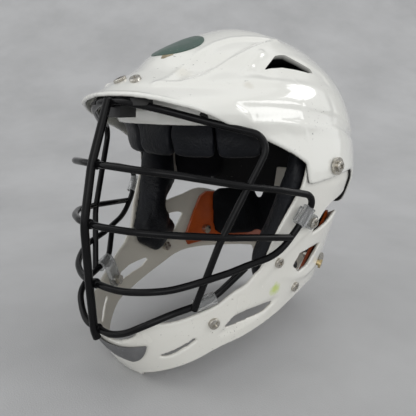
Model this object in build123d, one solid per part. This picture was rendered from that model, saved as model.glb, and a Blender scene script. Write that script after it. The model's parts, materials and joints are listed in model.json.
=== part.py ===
from build123d import *
import os
from math import atan2, copysign, cos, degrees, pi, radians, sin, tan

os.makedirs("parts", exist_ok=True)

# The helmet stands as it rests on a table, face up by a few degrees.
# Front is -Y, the wearer's left is +X, and the table is at Z = 0.

# Driving dimensions of the shell, in millimetres
shell_height = 262.5
# Height that places in the side view are shares of
view_height = 264.5
shell_half_width = 102.0
shell_front_reach = 153.0
shell_rear_reach = 124.0
crown_y = -15.0
widest_y = 10.0
shell_wall = 3.5
jaw_wall = 3.2
seat_gap = 0.3
overrun = 40.0

# Levels at which the outline starts to close towards the crown
side_shoulder = 140.0
front_shoulder = 196.0
rear_shoulder = 168.0
chin_shoulder = 45.0

# How much the lower helmet draws in at table level
side_draw_in = 31.0
widest_y_shift = 56.0
rear_draw_in = 46.0
chin_draw_in = 21.0

# Steel wire of the face guard
wire_diameter = 5.0
centre_bar_diameter = 6.0

# Screws, nuts and washers
screw_head_diameter = 8.4
screw_head_height = 2.4
screw_shank_diameter = 4.0
nut_diameter = 8.5
nut_height = 3.5
cup_washer_diameter = 13.5
cup_washer_height = 2.2
rivet_head_diameter = 9.0
rivet_head_height = 2.0
stud_neck_diameter = 5.0
stud_height = 2.5
stud_head_diameter = 8.0
stud_head_height = 1.8

# Inner pads and the fit cradle
pad_gap = 0.8
brow_pad_depth = 15.0
crown_pad_depth = 14.0
cheek_pad_depth = 19.0
temple_pad_depth = 16.0
nape_pad_depth = 13.0
cradle_wall = 2.6
cradle_clearance = 3.6
axle_diameter = 4.0
axle_clearance = 0.35

# Exponents of the closing curves: side, front and rear, each as (power, root)
side_curve_shares = (3.0, 1.69)
front_curve_shares = (1.13, 1.26)
rear_curve_shares = (2.2, 2.2)

# Roundness of the level outlines: the power at the shoulder, and what it gains at the table
front_round_shares = (1.75, 0.25)
rear_round_shares = (1.85, 0.55)
draw_in_power = 1.5

ring_points = 32


def closing(level, shoulder, top, curve):
    # Share of the full reach that is left at a level above a shoulder
    climb = max(0.0, min(1.0, (level - shoulder) / (top - shoulder)))
    power, root = curve
    return (1 - climb ** power) ** (1 / root)


def ring_sizes(level, inset):
    # Half width, widest place, front and rear reach and the two roundness powers at a level
    top = shell_height - inset
    side = closing(level, side_shoulder, top, side_curve_shares)
    front = closing(level, front_shoulder, top, front_curve_shares)
    rear = closing(level, rear_shoulder, top, rear_curve_shares)
    below_side = max(0.0, side_shoulder - level) / side_shoulder
    below_rear = max(0.0, rear_shoulder - level) / rear_shoulder
    below_chin = max(0.0, chin_shoulder - level) / chin_shoulder
    half_width = (shell_half_width - inset) * side - side_draw_in * below_side
    widest = crown_y + (widest_y - crown_y) * side - widest_y_shift * below_side
    front_y = crown_y - (shell_front_reach - inset + crown_y) * front
    front_y = front_y + chin_draw_in * below_chin ** draw_in_power
    rear_y = crown_y + (shell_rear_reach - inset - crown_y) * rear
    rear_y = rear_y - rear_draw_in * below_rear ** draw_in_power
    front_power = front_round_shares[0] + front_round_shares[1] * below_side
    rear_power = rear_round_shares[0] + rear_round_shares[1] * below_side
    return half_width, widest, front_y, rear_y, front_power, rear_power


def ring_point(level, inset, turn):
    # One point of the level outline, at a turn in radians from +X
    half_width, widest, front_y, rear_y, front_power, rear_power = ring_sizes(level, inset)
    ahead = sin(turn) < 0
    power = front_power if ahead else rear_power
    reach = widest - front_y if ahead else rear_y - widest
    x = half_width * copysign(abs(cos(turn)) ** (2 / power), cos(turn))
    y = widest + reach * copysign(abs(sin(turn)) ** (2 / power), sin(turn))
    return Vector(x, y, level)


def ring_face(level, inset):
    turns = [2 * pi * (step + 0.5) / ring_points for step in range(ring_points)]
    edge = Spline(*[ring_point(level, inset, turn) for turn in turns], periodic=True)
    return Face(Wire([edge]))


def wall_body(low, high, level_shares, inset):
    # Solid inside the helmet's outline, between two levels
    faces = [ring_face(low + (high - low) * share, inset) for share in level_shares]
    return Solid(loft(faces).solids()[0].wrapped)


def wall_x(y, level, inset):
    # Half width of the outline at a place along Y
    half_width, widest, front_y, rear_y, front_power, rear_power = ring_sizes(level, inset)
    power = front_power if y < widest else rear_power
    reach = widest - front_y if y < widest else rear_y - widest
    share = min(1.0, abs(y - widest) / reach)
    return half_width * (1 - share ** power) ** (1 / power)


def wall_point(y, level, inset, side=1):
    return Vector(side * wall_x(y, level, inset), y, level)


def wall_frame(y, level, inset, side=1):
    # Plane that lies on the outline, with its Z axis pointing out of the helmet
    small = seat_gap
    here = wall_point(y, level, inset, side)
    along = wall_point(y + small, level, inset, side) - here
    up = wall_point(y, level + small, inset, side) - here
    out = along.cross(up) * side
    return Plane(origin=here, x_dir=along, z_dir=out)


def side_place(place):
    # A share of the front reach and of the view height, as a place in the side view
    return (place[0] * shell_front_reach, place[1] * view_height)


block_half_width = shell_half_width + overrun


def side_block(runs):
    # Block with an outline in the side view, where a run of two places is a straight line
    lines = []
    for run in runs:
        places = [side_place(place) for place in run]
        lines.append(Line(*places) if len(places) == 2 else Spline(*places))
    outline = make_face(Plane.YZ * Wire([edge for line in lines for edge in line.edges()]))
    return extrude(outline, block_half_width, both=True)


def polygon_block(shares):
    places = [side_place(place) for place in shares]
    outline = make_face(Plane.YZ * Polyline(*places, close=True))
    return extrude(outline, block_half_width, both=True)


def save(name, solids):
    solids = solids if isinstance(solids, list) else [solids]
    parts[name] = [piece for solid in solids for piece in solid.solids()]


parts = {}

# Outlines in the side view, as shares of the front reach and of the height
rim_shares = [(-1.09, 0.777), (-0.954, 0.783), (-0.88, 0.778), (-0.801, 0.762), (-0.689, 0.733),
              (-0.501, 0.690), (-0.298, 0.637), (-0.196, 0.606)]
rim_corner_shares = [(-0.196, 0.606), (-0.176, 0.594), (-0.178, 0.565), (-0.200, 0.545)]
shell_hem_shares = [(-0.200, 0.545), (0.000, 0.560), (0.105, 0.567), (0.290, 0.560)]
shell_nape_shares = [(0.290, 0.560), (0.380, 0.480), (0.497, 0.428), (0.700, 0.405), (1.100, 0.400)]
jaw_front_shares = [(-1.120, 0.140), (-1.000, 0.140), (-0.941, 0.129), (-0.908, 0.147), (-0.889, 0.178),
                    (-0.850, 0.189), (-0.784, 0.193), (-0.699, 0.208), (-0.608, 0.227), (-0.536, 0.253),
                    (-0.464, 0.272), (-0.425, 0.295), (-0.379, 0.321), (-0.314, 0.416), (-0.230, 0.503),
                    (-0.190, 0.545), (-0.150, 0.630)]
jaw_top_shares = [(-0.150, 0.630), (0.240, 0.640)]
jaw_arm_rear_shares = [(0.240, 0.640), (0.310, 0.570), (0.320, 0.490)]
upper_vent_top_shares = [(0.320, 0.490), (0.120, 0.478), (0.040, 0.462), (-0.020, 0.428), (-0.075, 0.378)]
upper_vent_low_shares = [(-0.075, 0.378), (-0.040, 0.378), (0.120, 0.392), (0.270, 0.410), (0.420, 0.385),
                         (0.600, 0.345), (0.800, 0.330), (1.100, 0.325)]
jaw_ring_rear_shares = [(1.100, 0.325), (1.100, 0.172)]
jaw_low_shares = [(1.100, 0.172), (0.500, 0.173), (0.130, 0.185), (-0.020, 0.166), (-0.163, 0.127),
                  (-0.340, 0.094), (-0.640, 0.055), (-0.765, 0.018), (-0.812, -0.003), (-1.120, -0.006)]
jaw_nose_shares = [(-1.120, -0.006), (-1.120, 0.140)]
ear_vent_shares = [(-0.163, 0.291), (-0.124, 0.327), (0.046, 0.333), (0.105, 0.325), (0.050, 0.290),
                   (0.005, 0.266), (-0.090, 0.259)]
cheek_slot_shares = [(-0.530, 0.152), (-0.484, 0.181), (-0.392, 0.191), (-0.262, 0.192), (-0.215, 0.187),
                     (-0.288, 0.166), (-0.373, 0.162)]
chin_slot_shares = [(-0.810, 0.083), (-0.740, 0.104), (-0.650, 0.142), (-0.640, 0.134), (-0.730, 0.090)]

shell_level_shares = (0, 0.12, 0.24, 0.36, 0.46, 0.56, 0.65, 0.73, 0.80, 0.86, 0.91, 0.95, 0.98, 0.996)
jaw_level_shares = (0, 0.12, 0.24, 0.36, 0.48, 0.60, 0.72, 0.85, 1)
shell_low_level = 70.0
jaw_low_level = 0.0
jaw_high_level = 178.0
jaw_inset = shell_wall + seat_gap
jaw_inner_inset = jaw_inset + jaw_wall


def hollow_wall(low, high, shares, outer_inset, wall):
    inner_high = high - wall if high > shell_height - overrun else high
    outside = wall_body(low, high, shares, outer_inset)
    inside = wall_body(low, inner_high, shares, outer_inset + wall)
    return outside - inside


# Dome vents, one pair over the temples and one pair at the back
top_vent_length = 44.0
top_vent_height = 15.0
back_vent_length = 34.0
back_vent_height = 12.0
top_vent_y = -28.0
top_vent_level = 232.0
back_vent_y = 70.0
back_vent_level = 205.0
top_vent_outline_shares = [(-0.48, -0.19), (-0.17, 0.60), (-0.01, 0.66), (0.37, -0.10), (0.36, -0.35), (0.28, -0.39),
                           (-0.17, -0.18)]
back_vent_outline_shares = [(-0.50, 0.10), (-0.36, 0.50), (0.34, 0.50), (0.50, -0.10), (0.30, -0.50), (-0.30, -0.40)]


def vent_cut(y, level, length, height, outline_shares, side):
    frame = wall_frame(y, level, 0, side)
    corners = [(along * length, across * height * side) for along, across in outline_shares]
    hole = extrude(make_face(Polyline(*corners, close=True)), overrun / 2, both=True)
    return frame * hole


def shell_body(inset):
    return wall_body(shell_low_level, shell_height - inset, shell_level_shares, inset)


def make_shell():
    walls = hollow_wall(shell_low_level, shell_height, shell_level_shares, 0, shell_wall)
    low_front_shares = [(-1.09, 0.777), (-1.09, 0.200)]
    low_shares = [(1.100, 0.400), (1.100, 0.200), (-1.09, 0.200)]
    opening = side_block([list(reversed(low_front_shares)), rim_shares, rim_corner_shares,
                          shell_hem_shares, shell_nape_shares, low_shares[:2], low_shares[1:]])
    shell = walls - opening
    for side in (1, -1):
        shell -= vent_cut(top_vent_y, top_vent_level, top_vent_length, top_vent_height,
                          top_vent_outline_shares, side)
        shell -= vent_cut(back_vent_y, back_vent_level, back_vent_length, back_vent_height,
                          back_vent_outline_shares, side)
    return shell


# Rear arm of the jaw ring, up under the shell, and the tail that rests on the table
tail_arm_half_width = 24.0
tail_arm_level = 132.0
tail_foot_half_width = 13.0
tail_foot_level = 0.0
tail_root_half_width = 37.0
tail_root_level = 50.0


def tail_block():
    corners = [(tail_foot_half_width, tail_foot_level), (tail_root_half_width, tail_root_level),
               (tail_arm_half_width, (tail_root_level + tail_arm_level) / 2), (tail_arm_half_width, tail_arm_level)]
    outline = corners + [(-x, z) for x, z in reversed(corners)]
    face = make_face(Plane.XZ * Polyline(*outline, close=True))
    return extrude(face, -shell_rear_reach - overrun)


def make_chin_guard():
    walls = hollow_wall(jaw_low_level, jaw_high_level, jaw_level_shares, jaw_inset, jaw_wall)
    outline = side_block([jaw_front_shares, jaw_top_shares, jaw_arm_rear_shares, upper_vent_top_shares,
                          upper_vent_low_shares, jaw_ring_rear_shares, jaw_low_shares, jaw_nose_shares])
    guard = walls & (outline + tail_block())
    for shares in (ear_vent_shares, cheek_slot_shares, chin_slot_shares):
        guard -= polygon_block(shares)
    return guard


# Plain badge plate, let into the front of the chin
plate_thickness = 1.0
plate_outline_shares = [(-0.885, 0.130), (-0.945, 0.116), (-1.120, 0.124), (-1.120, 0.030), (-0.880, 0.030)]


def plate_band():
    inset = jaw_inset - seat_gap
    return hollow_wall(jaw_low_level, jaw_high_level, jaw_level_shares, inset - plate_thickness, plate_thickness)


shell = make_shell()
chin_guard = make_chin_guard()
save("chin_plate", plate_band() & polygon_block(plate_outline_shares))

# Wire routes of the face guard, as shares of the half width, the front reach and the height
hoop_route_shares = [(0, -0.853, 0.769), (0.12, -0.853, 0.769), (0.37, -0.784, 0.750), (0.66, -0.620, 0.712),
                     (0.885, -0.452, 0.682), (0.706, -0.660, 0.420), (0.578, -0.738, 0.236)]
side_route_shares = [(0, -0.950, 0.613), (0.14, -0.950, 0.613), (0.39, -0.902, 0.607), (0.55, -0.824, 0.599),
                     (0.67, -0.732, 0.586), (0.804, -0.562, 0.563), (0.922, -0.386, 0.544), (1.020, -0.203, 0.518),
                     (0.945, -0.255, 0.440), (0.880, -0.373, 0.363), (0.775, -0.523, 0.344), (0.725, -0.601, 0.333),
                     (0.637, -0.758, 0.321), (0.529, -0.850, 0.306), (0.392, -0.922, 0.299), (0.245, -0.965, 0.293),
                     (0.12, -0.990, 0.295), (0, -0.990, 0.295)]
third_route_shares = [(0, -1.003, 0.461), (0.12, -1.003, 0.461), (0.324, -0.948, 0.457), (0.539, -0.837, 0.450),
                      (0.735, -0.634, 0.433), (0.931, -0.316, 0.408)]
bottom_route_shares = [(0, -0.993, 0.163), (0.137, -0.993, 0.163), (0.255, -0.967, 0.176), (0.392, -0.922, 0.208),
                       (0.490, -0.830, 0.231), (0.578, -0.693, 0.244), (0.627, -0.621, 0.261), (0.765, -0.523, 0.338)]
centre_route_shares = [(0, -0.872, 0.775), (0, -0.977, 0.613), (0, -1.033, 0.461), (0, -1.026, 0.295),
                       (0, -1.016, 0.163), (0, -1.003, 0.138)]
largest_bend = 60.0
sharp_bend = 11.0
sharp_turn = 60
bend_run_share = 0.45


def route_points(shares):
    return [Vector(x * shell_half_width, y * shell_front_reach, z * view_height) for x, y, z in shares]


def bend_radii(points):
    # Each bend is as large as its two runs allow
    radii = []
    for before, here, after in zip(points, points[1:], points[2:]):
        turn = radians((here - before).get_angle(after - here))
        shorter = min((here - before).length, (after - here).length)
        limit = sharp_bend if degrees(turn) > sharp_turn else largest_bend
        radii.append(min(bend_run_share * shorter / tan(turn / 2), limit))
    return radii


def wire_tube(points, diameter):
    path = FilletPolyline(*points, radius=bend_radii(points))
    start = Plane(origin=path @ 0, z_dir=path % 0)
    return sweep(start * Circle(diameter / 2), path=path)


def mirrored_wire(shares):
    half = wire_tube(route_points(shares), wire_diameter)
    return half + mirror(half, Plane.YZ)


save("cage_top_hoop", mirrored_wire(hoop_route_shares))
save("cage_side_hoop", mirrored_wire(side_route_shares))
save("cage_third_bar", mirrored_wire(third_route_shares))
save("cage_bottom_bar", mirrored_wire(bottom_route_shares))
save("cage_center_bar", wire_tube(route_points(centre_route_shares), centre_bar_diameter))


turn_step = 0.01


def wire_cutter(shares):
    # Room for a wire and its seat in what clasps it
    half = wire_tube(route_points(shares), wire_diameter + 2 * seat_gap)
    return half + mirror(half, Plane.YZ)


hoop_cutter = wire_cutter(hoop_route_shares)
side_cutter = wire_cutter(side_route_shares)
bottom_cutter = wire_cutter(bottom_route_shares)


def turn_frame(turn, level, inset):
    # Plane on the outline at a turn in degrees from +X, with its Z axis pointing out
    here = ring_point(level, inset, radians(turn))
    along = ring_point(level, inset, radians(turn) + turn_step) - here
    up = ring_point(level + seat_gap, inset, radians(turn)) - here
    return Plane(origin=here, x_dir=along, z_dir=along.cross(up))


def cylinder_on(frame, diameter, low, high):
    # Round piece along the frame's Z axis, from one height to another
    return extrude(frame.offset(low) * Circle(diameter / 2), high - low)


drive_width = 1.1
drive_depth_share = 0.55
drive_length_share = 0.62
drive_turns = (45, 135)
head_edge_share = 0.35
hole_clearance = 0.3


def screw(frame, head_diameter, head_height, shank_length, base=0):
    head = cylinder_on(frame, head_diameter, base, base + head_height)
    rim = head.edges().filter_by(GeomType.CIRCLE).sort_by(lambda edge: frame.to_local_coords(edge.center()).Z)
    head = fillet(rim[-1:], head_height * head_edge_share)
    slot_floor = frame.offset(base + head_height * (1 - drive_depth_share))
    for turn in drive_turns:
        bar = Rectangle(head_diameter * drive_length_share, drive_width, rotation=turn)
        head -= extrude(slot_floor * bar, head_height)
    return head + cylinder_on(frame, screw_shank_diameter, base - shank_length, base + drive_width / 2)


def shank_hole(frame):
    return cylinder_on(frame, screw_shank_diameter + 2 * hole_clearance, -overrun / 2, overrun / 2)


def ring_piece(frame, outer, inner, low, high):
    return cylinder_on(frame, outer, low, high) - cylinder_on(frame, inner, low - overrun, high + overrun)


def head_seat(frame, diameter):
    # Flat seat for a head or washer on the outside of a wall
    return cylinder_on(frame, diameter + 2 * hole_clearance, 0, overrun / 2)


def nut_seat(frame, wall_back):
    # Flat seat for a nut on the inside of a wall
    return cylinder_on(frame, nut_diameter + 2 * hole_clearance, -wall_back - nut_height, -wall_back)


# Places of the fasteners: share of the front reach along Y, share of the height
shell_screw_place_share = (0.010, 0.587)
side_screw_place_share = (-0.122, 0.432)
chin_screw_place_share = (-0.630, 0.180)
hinge_screw_place_share = (-0.295, 0.322)
corner_screw_place_share = (-0.100, 0.210)
strap_stud_place_share = (0.185, 0.240)
axle_place_share = (0.222, 0.253)


def place_frame(place, inset, side):
    return wall_frame(*side_place(place), inset, side)


clip_tab_thickness = 4.5
clip_tab_half_width = 6.0
clip_sleeve_diameter = 9.5
clip_sleeve_length = 15.0


def clip(frame, wire_place, wire_run, tab_low, tab_high):
    # Clear plastic clip: a sleeve round the wire, and a tab out to the screw
    centre = Vector(*wire_place)
    local = frame.to_local_coords(centre)
    reach = (local.X ** 2 + local.Y ** 2) ** 0.5
    turn = degrees(atan2(local.Y, local.X))
    tab_plane = frame.offset(tab_low) * Plane(origin=(0, 0, 0), x_dir=(cos(radians(turn)), sin(radians(turn)), 0))
    outline = Circle(clip_tab_half_width) + Pos(reach / 2, 0) * Rectangle(reach, 2 * clip_tab_half_width)
    tab = extrude(tab_plane * outline, tab_high - tab_low)
    sleeve_plane = Plane(origin=centre, z_dir=wire_run)
    half_length = clip_sleeve_length / 2
    sleeve = cylinder_on(sleeve_plane, clip_sleeve_diameter, -half_length, half_length)
    bore = cylinder_on(sleeve_plane, wire_diameter + 2 * seat_gap, -overrun, overrun)
    return tab + sleeve - bore - shank_hole(frame)


def share_point(place, side=1):
    return Vector(side * place[0] * shell_half_width, place[1] * shell_front_reach, place[2] * view_height)


pocket_diameter = 11.0
pocket_depth = 13.5


def pad_pocket(frame):
    # Room for a nut and the end of its screw in the back of a pad
    return cylinder_on(frame, pocket_diameter, -pocket_depth, overrun)


side_clip_wire_share = (0.960, -0.242, 0.462)
side_clip_low_share = (0.913, -0.314, 0.402)
chin_clip_wire_share = (0.590, -0.672, 0.249)
chin_clip_next_share = (0.490, -0.830, 0.231)

shell_screws = []
cup_washers = []
clip_screws = []
clip_nuts = []
side_clips = []
chin_clips = []
jaw_screws = []
jaw_nuts = []
strap_studs = []
cradle_rivets = []
pad_pockets = []

for side in (1, -1):
    shell_frame = place_frame(shell_screw_place_share, 0, side)
    cup_washers.append(ring_piece(shell_frame, cup_washer_diameter, screw_shank_diameter + hole_clearance,
                                  0, cup_washer_height))
    stack = shell_wall + seat_gap + jaw_wall
    shell_screws.append(screw(shell_frame, screw_head_diameter, screw_head_height, stack + nut_height + cup_washer_height,
                              cup_washer_height))
    jaw_nuts.append(ring_piece(shell_frame, nut_diameter, screw_shank_diameter, -stack - nut_height, -stack))
    shell -= shank_hole(shell_frame) + head_seat(shell_frame, cup_washer_diameter)
    chin_guard -= shank_hole(shell_frame) + nut_seat(shell_frame, stack)

    side_frame = place_frame(side_screw_place_share, jaw_inset, side)
    wire_here = share_point(side_clip_wire_share, side)
    wire_run = share_point(side_clip_low_share, side) - wire_here
    side_clips.append(clip(side_frame, wire_here, wire_run, seat_gap, clip_tab_thickness) - side_cutter)
    clip_screws.append(screw(side_frame, screw_head_diameter, screw_head_height,
                             clip_tab_thickness + jaw_wall + nut_height, clip_tab_thickness))
    clip_nuts.append(ring_piece(side_frame, nut_diameter, screw_shank_diameter, -jaw_wall - nut_height, -jaw_wall))
    chin_guard -= shank_hole(side_frame) + nut_seat(side_frame, jaw_wall)

    chin_frame = place_frame(chin_screw_place_share, jaw_inset, side)
    wire_here = share_point(chin_clip_wire_share, side)
    wire_run = share_point(chin_clip_next_share, side) - wire_here
    tab_back = -jaw_wall - clip_tab_thickness
    chin_clip = clip(chin_frame, wire_here, wire_run, tab_back, -jaw_wall - seat_gap)
    chin_clips.append(chin_clip - bottom_cutter - hoop_cutter)
    clip_screws.append(screw(chin_frame, screw_head_diameter, screw_head_height, -tab_back + nut_height))
    clip_nuts.append(ring_piece(chin_frame, nut_diameter, screw_shank_diameter, tab_back - nut_height, tab_back))
    chin_guard -= shank_hole(chin_frame) + head_seat(chin_frame, screw_head_diameter)

    for place in (hinge_screw_place_share, corner_screw_place_share):
        frame = place_frame(place, jaw_inset, side)
        jaw_screws.append(screw(frame, screw_head_diameter, screw_head_height, jaw_wall + nut_height))
        jaw_nuts.append(ring_piece(frame, nut_diameter, screw_shank_diameter, -jaw_wall - nut_height, -jaw_wall))
        chin_guard -= shank_hole(frame) + head_seat(frame, screw_head_diameter) + nut_seat(frame, jaw_wall)
        pad_pockets.append(pad_pocket(frame))
    pad_pockets.append(pad_pocket(shell_frame))
    pad_pockets.append(pad_pocket(side_frame))

save("shell_screws", shell_screws)
save("cup_washers", cup_washers)
save("clip_screws", clip_screws)
save("clip_nuts", clip_nuts)
save("side_clips", side_clips)
save("chin_clips", chin_clips)
save("jaw_screws", jaw_screws)
save("jaw_nuts", jaw_nuts)


# Room inside the walls, which trims the back of each soft pad
room_level_shares = (0, 0.10, 0.20, 0.30, 0.40, 0.50, 0.60, 0.69, 0.77, 0.84, 0.90, 0.95, 0.98, 0.996)
room_low_level = 30.0
jaw_room_inset = jaw_inner_inset + pad_gap
shell_room_inset = shell_wall + pad_gap
cradle_outer_inset = jaw_inner_inset + cradle_clearance
cradle_inner_inset = cradle_outer_inset + cradle_wall


def room(inset):
    return wall_body(room_low_level, shell_height - inset, room_level_shares, inset)


shell_room = room(shell_room_inset)
jaw_room = room(jaw_room_inset)
nape_room = room(cradle_inner_inset + pad_gap)

# A cushion swells from its back to its middle and draws in towards its face: depth share, size share
cushion_profile_shares = [(-0.50, 0.86), (0.00, 0.95), (0.30, 1.00), (0.62, 0.96), (0.86, 0.80), (1.00, 0.52)]
cushion_corner_share = 0.22


def with_pockets(pad):
    for pocket in pad_pockets:
        pad -= pocket
    return pad


def cushion(frame, places, depth, trim):
    # Crowned pad over an outline in the frame's plane, with its back on the wall
    centre = sum(places, Vector(0, 0)) / len(places)
    shortest = min((there - here).length for here, there in zip(places, places[1:] + places[:1]))
    sections = []
    for depth_share, size_share in cushion_profile_shares:
        corners = [centre + (place - centre) * size_share for place in places]
        radius = cushion_corner_share * shortest * size_share
        outline = make_face(FilletPolyline(*corners, radius=radius, close=True))
        sections.append(frame.offset(-depth * depth_share) * outline)
    return loft(sections) & trim


def box_places(length, height):
    return [Vector(-length / 2, -height / 2), Vector(length / 2, -height / 2),
            Vector(length / 2, height / 2), Vector(-length / 2, height / 2)]


def side_places(shares, centre_share):
    centre_y, centre_level = side_place(centre_share)
    places = [side_place(share) for share in shares]
    return [Vector(y - centre_y, level - centre_level) for y, level in places]


# Cheek pads: a tall strip behind the edge of the jaw, with a foot
cheek_centre_share = (-0.145, 0.440)
cheek_outline_shares = [(-0.175, 0.672), (-0.235, 0.560), (-0.300, 0.430), (-0.392, 0.325), (-0.380, 0.262),
                        (-0.240, 0.208), (-0.050, 0.262), (-0.150, 0.330), (-0.115, 0.400), (0.020, 0.470),
                        (0.045, 0.672)]

# Temple pads, behind the cheek pads
temple_centre_share = (0.290, 0.570)
temple_length = 58.0
temple_height = 62.0

# Brow pad: cushions on an arc round the forehead, and the white wall in front of them
brow_radius = 87.0
brow_centre_y = -10.0
brow_low_level = 164.0
brow_height = 74.0
brow_cushions = 5
brow_turn = 24.0
brow_gap_turn = 0.8
brow_profile_shares = [(0.00, 0.50), (0.10, 0.86), (0.30, 1.00), (0.65, 1.00), (1.00, 0.92)]
brow_end_share = 0.2
brow_wall = 2.4
brow_wall_level = 187.0
brow_wall_turn = 120.0


def arc_band(middle_turn, span, radius, thickness, level):
    start = middle_turn - span / 2
    outer = CenterArc((0, 0), radius, start, span)
    inner = CenterArc((0, 0), radius - thickness, start, span)
    outline = make_face([outer, Line(outer @ 1, inner @ 1), inner, Line(outer @ 0, inner @ 0)])
    return Pos(0, brow_centre_y, level) * outline


def shell_brow_wall():
    # Upright wall inside the shell that the brow cushions lie against
    radius = brow_radius + pad_gap + brow_wall
    band = arc_band(-90, brow_wall_turn, radius, brow_wall, brow_wall_level)
    return extrude(band, shell_height) & shell_body(shell_wall / 2)


def brow_cushion(turn):
    sections = []
    for height_share, size_share in brow_profile_shares:
        thickness = brow_pad_depth * size_share
        radius = brow_radius - (brow_pad_depth - thickness) / 2
        span = (brow_turn - brow_gap_turn) * (1 - (1 - size_share) * brow_end_share)
        sections.append(arc_band(turn, span, radius, thickness, brow_low_level + brow_height * height_share))
    return loft(sections) & shell_room


# Pads of the crown and of the upper back
crown_length = 56.0
crown_width = 40.0
crown_front_level = 246.0
crown_rear_level = 230.0
crown_side_y = 38.0
crown_side_level = 222.0
back_pad_level = 172.0
back_pad_length = 62.0
back_pad_height = 44.0


def crown_cushions():
    frames = [turn_frame(-90, crown_front_level, shell_room_inset), turn_frame(90, crown_rear_level, shell_room_inset),
              Plane(origin=(0, 0, shell_height - shell_room_inset), z_dir=(0, 0, 1))]
    frames += [wall_frame(crown_side_y, crown_side_level, shell_room_inset, side) for side in (1, -1)]
    return [cushion(frame, box_places(crown_length, crown_width), crown_pad_depth, shell_room) for frame in frames]


cheek_frame = wall_frame(*side_place(cheek_centre_share), jaw_room_inset)
cheek_places = side_places(cheek_outline_shares, cheek_centre_share)
cheek_pad = with_pockets(cushion(cheek_frame, cheek_places, cheek_pad_depth, jaw_room))
temple_frame = wall_frame(*side_place(temple_centre_share), jaw_room_inset)
temple_pad = cushion(temple_frame, box_places(temple_length, temple_height), temple_pad_depth, jaw_room)
temple_pad = with_pockets(temple_pad)

save("cheek_pad_left", cheek_pad)
save("cheek_pad_right", mirror(cheek_pad, Plane.YZ))
save("temple_pad_left", temple_pad)
save("temple_pad_right", mirror(temple_pad, Plane.YZ))
brow_turns = [-90 + brow_turn * (step - (brow_cushions - 1) / 2) for step in range(brow_cushions)]
save("brow_pad", [brow_cushion(turn) for turn in brow_turns])
shell += shell_brow_wall()
save("crown_pads", crown_cushions())
save("back_pad", cushion(turn_frame(90, back_pad_level, shell_room_inset),
                         box_places(back_pad_length, back_pad_height), crown_pad_depth, shell_room))

# Fit cradle: a band round the nape, with an upright tab at each side
cradle_low_level = 40.0
cradle_high_level = 125.0
cradle_level_shares = (0, 0.2, 0.4, 0.6, 0.8, 1)
cradle_outline_shares = [(0.065, 0.204), (0.052, 0.235), (0.235, 0.385), (0.290, 0.403), (0.360, 0.400),
                         (0.420, 0.375), (1.100, 0.360), (1.100, 0.225), (0.450, 0.215)]
axle_y, axle_level = side_place(axle_place_share)
nape_level = 84.0
nape_height = 52.0
nape_length = 52.0
nape_side_turn = 42
nape_middle_length = 66.0


def along_x(diameter, low, high):
    # Round piece along X at the cradle's axle
    return extrude(Plane(origin=(low, axle_y, axle_level), z_dir=(1, 0, 0)) * Circle(diameter / 2), high - low)


def cradle():
    band = hollow_wall(cradle_low_level, cradle_high_level, cradle_level_shares, cradle_outer_inset, cradle_wall)
    band = band & polygon_block(cradle_outline_shares)
    return band - along_x(axle_diameter + 2 * axle_clearance, -block_half_width, block_half_width)


def nape_cushions():
    pads = []
    for turn, length in ((-nape_side_turn, nape_length), (0, nape_middle_length), (nape_side_turn, nape_length)):
        frame = turn_frame(90 + turn, nape_level, cradle_inner_inset + pad_gap)
        pads.append(cushion(frame, box_places(length, nape_height), nape_pad_depth, nape_room))
    return pads


save("fit_cradle", cradle())
save("nape_pad", nape_cushions())

head_room = wall_body(cradle_low_level, cradle_high_level, cradle_level_shares, cradle_inner_inset + axle_clearance)
jaw_outside = wall_body(cradle_low_level, cradle_high_level, cradle_level_shares, jaw_inset - axle_clearance)
for side in (1, -1):
    outer_x = wall_x(axle_y, axle_level, jaw_inset)
    inner_x = wall_x(axle_y, axle_level, cradle_inner_inset)
    shank = along_x(axle_diameter, inner_x - rivet_head_height, outer_x + rivet_head_height / 2)
    inner_head = along_x(rivet_head_diameter, inner_x - 2 * rivet_head_height, outer_x) & head_room
    outer_head = along_x(rivet_head_diameter, inner_x, outer_x + rivet_head_height) - jaw_outside
    left_stud_frame = place_frame(strap_stud_place_share, jaw_inset, 1)
    outer_head -= cylinder_on(left_stud_frame, stud_neck_diameter + 2 * hole_clearance, -overrun, overrun)
    outer_head -= cylinder_on(left_stud_frame, stud_head_diameter + 2 * hole_clearance, stud_height - seat_gap, overrun)
    rivet = shank + inner_head + outer_head
    cradle_rivets.append(rivet if side == 1 else mirror(rivet, Plane.YZ))
    stud_frame = place_frame(strap_stud_place_share, jaw_inset, side)
    strap_studs.append(cylinder_on(stud_frame, stud_neck_diameter, -jaw_wall, stud_height)
                       + cylinder_on(stud_frame, stud_head_diameter, stud_height, stud_height + stud_head_height))
    chin_guard -= cylinder_on(stud_frame, stud_neck_diameter + 2 * hole_clearance, -overrun / 2, overrun / 2)
chin_guard -= along_x(axle_diameter + 2 * axle_clearance, -block_half_width, block_half_width)
save("chin_guard", chin_guard)
save("cradle_rivets", cradle_rivets)
save("strap_studs", strap_studs)

# Rubber blocks that carry the top hoop under the visor, and the clip at its middle
bumper_width = 12.0
bumper_depth = 9.0
bumper_height = 30.0
bumper_route_shares = [(0.245, -0.818, 0.7595), (0.610, -0.677, 0.7253)]
visor_clip_width = 9.0
visor_clip_depth = 14.0
visor_clip_low_level = 193.0
visor_yoke_width = 2 * (bumper_route_shares[0][0] * shell_half_width - bumper_width / 2 - seat_gap)
visor_yoke_level = 208.0
visor_screw_level = 218.0
visor_screw_turn = 7.0
visor_screw_grip = 7.0
hoop_top = share_point(hoop_route_shares[0])


trim_room = room(shell_room_inset)


def bumper(place, side):
    here = share_point(place, side)
    block = Pos(here.X, here.Y, here.Z + bumper_height / 2) * Box(bumper_width, bumper_depth, bumper_height)
    return (block & trim_room) - hoop_cutter


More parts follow.
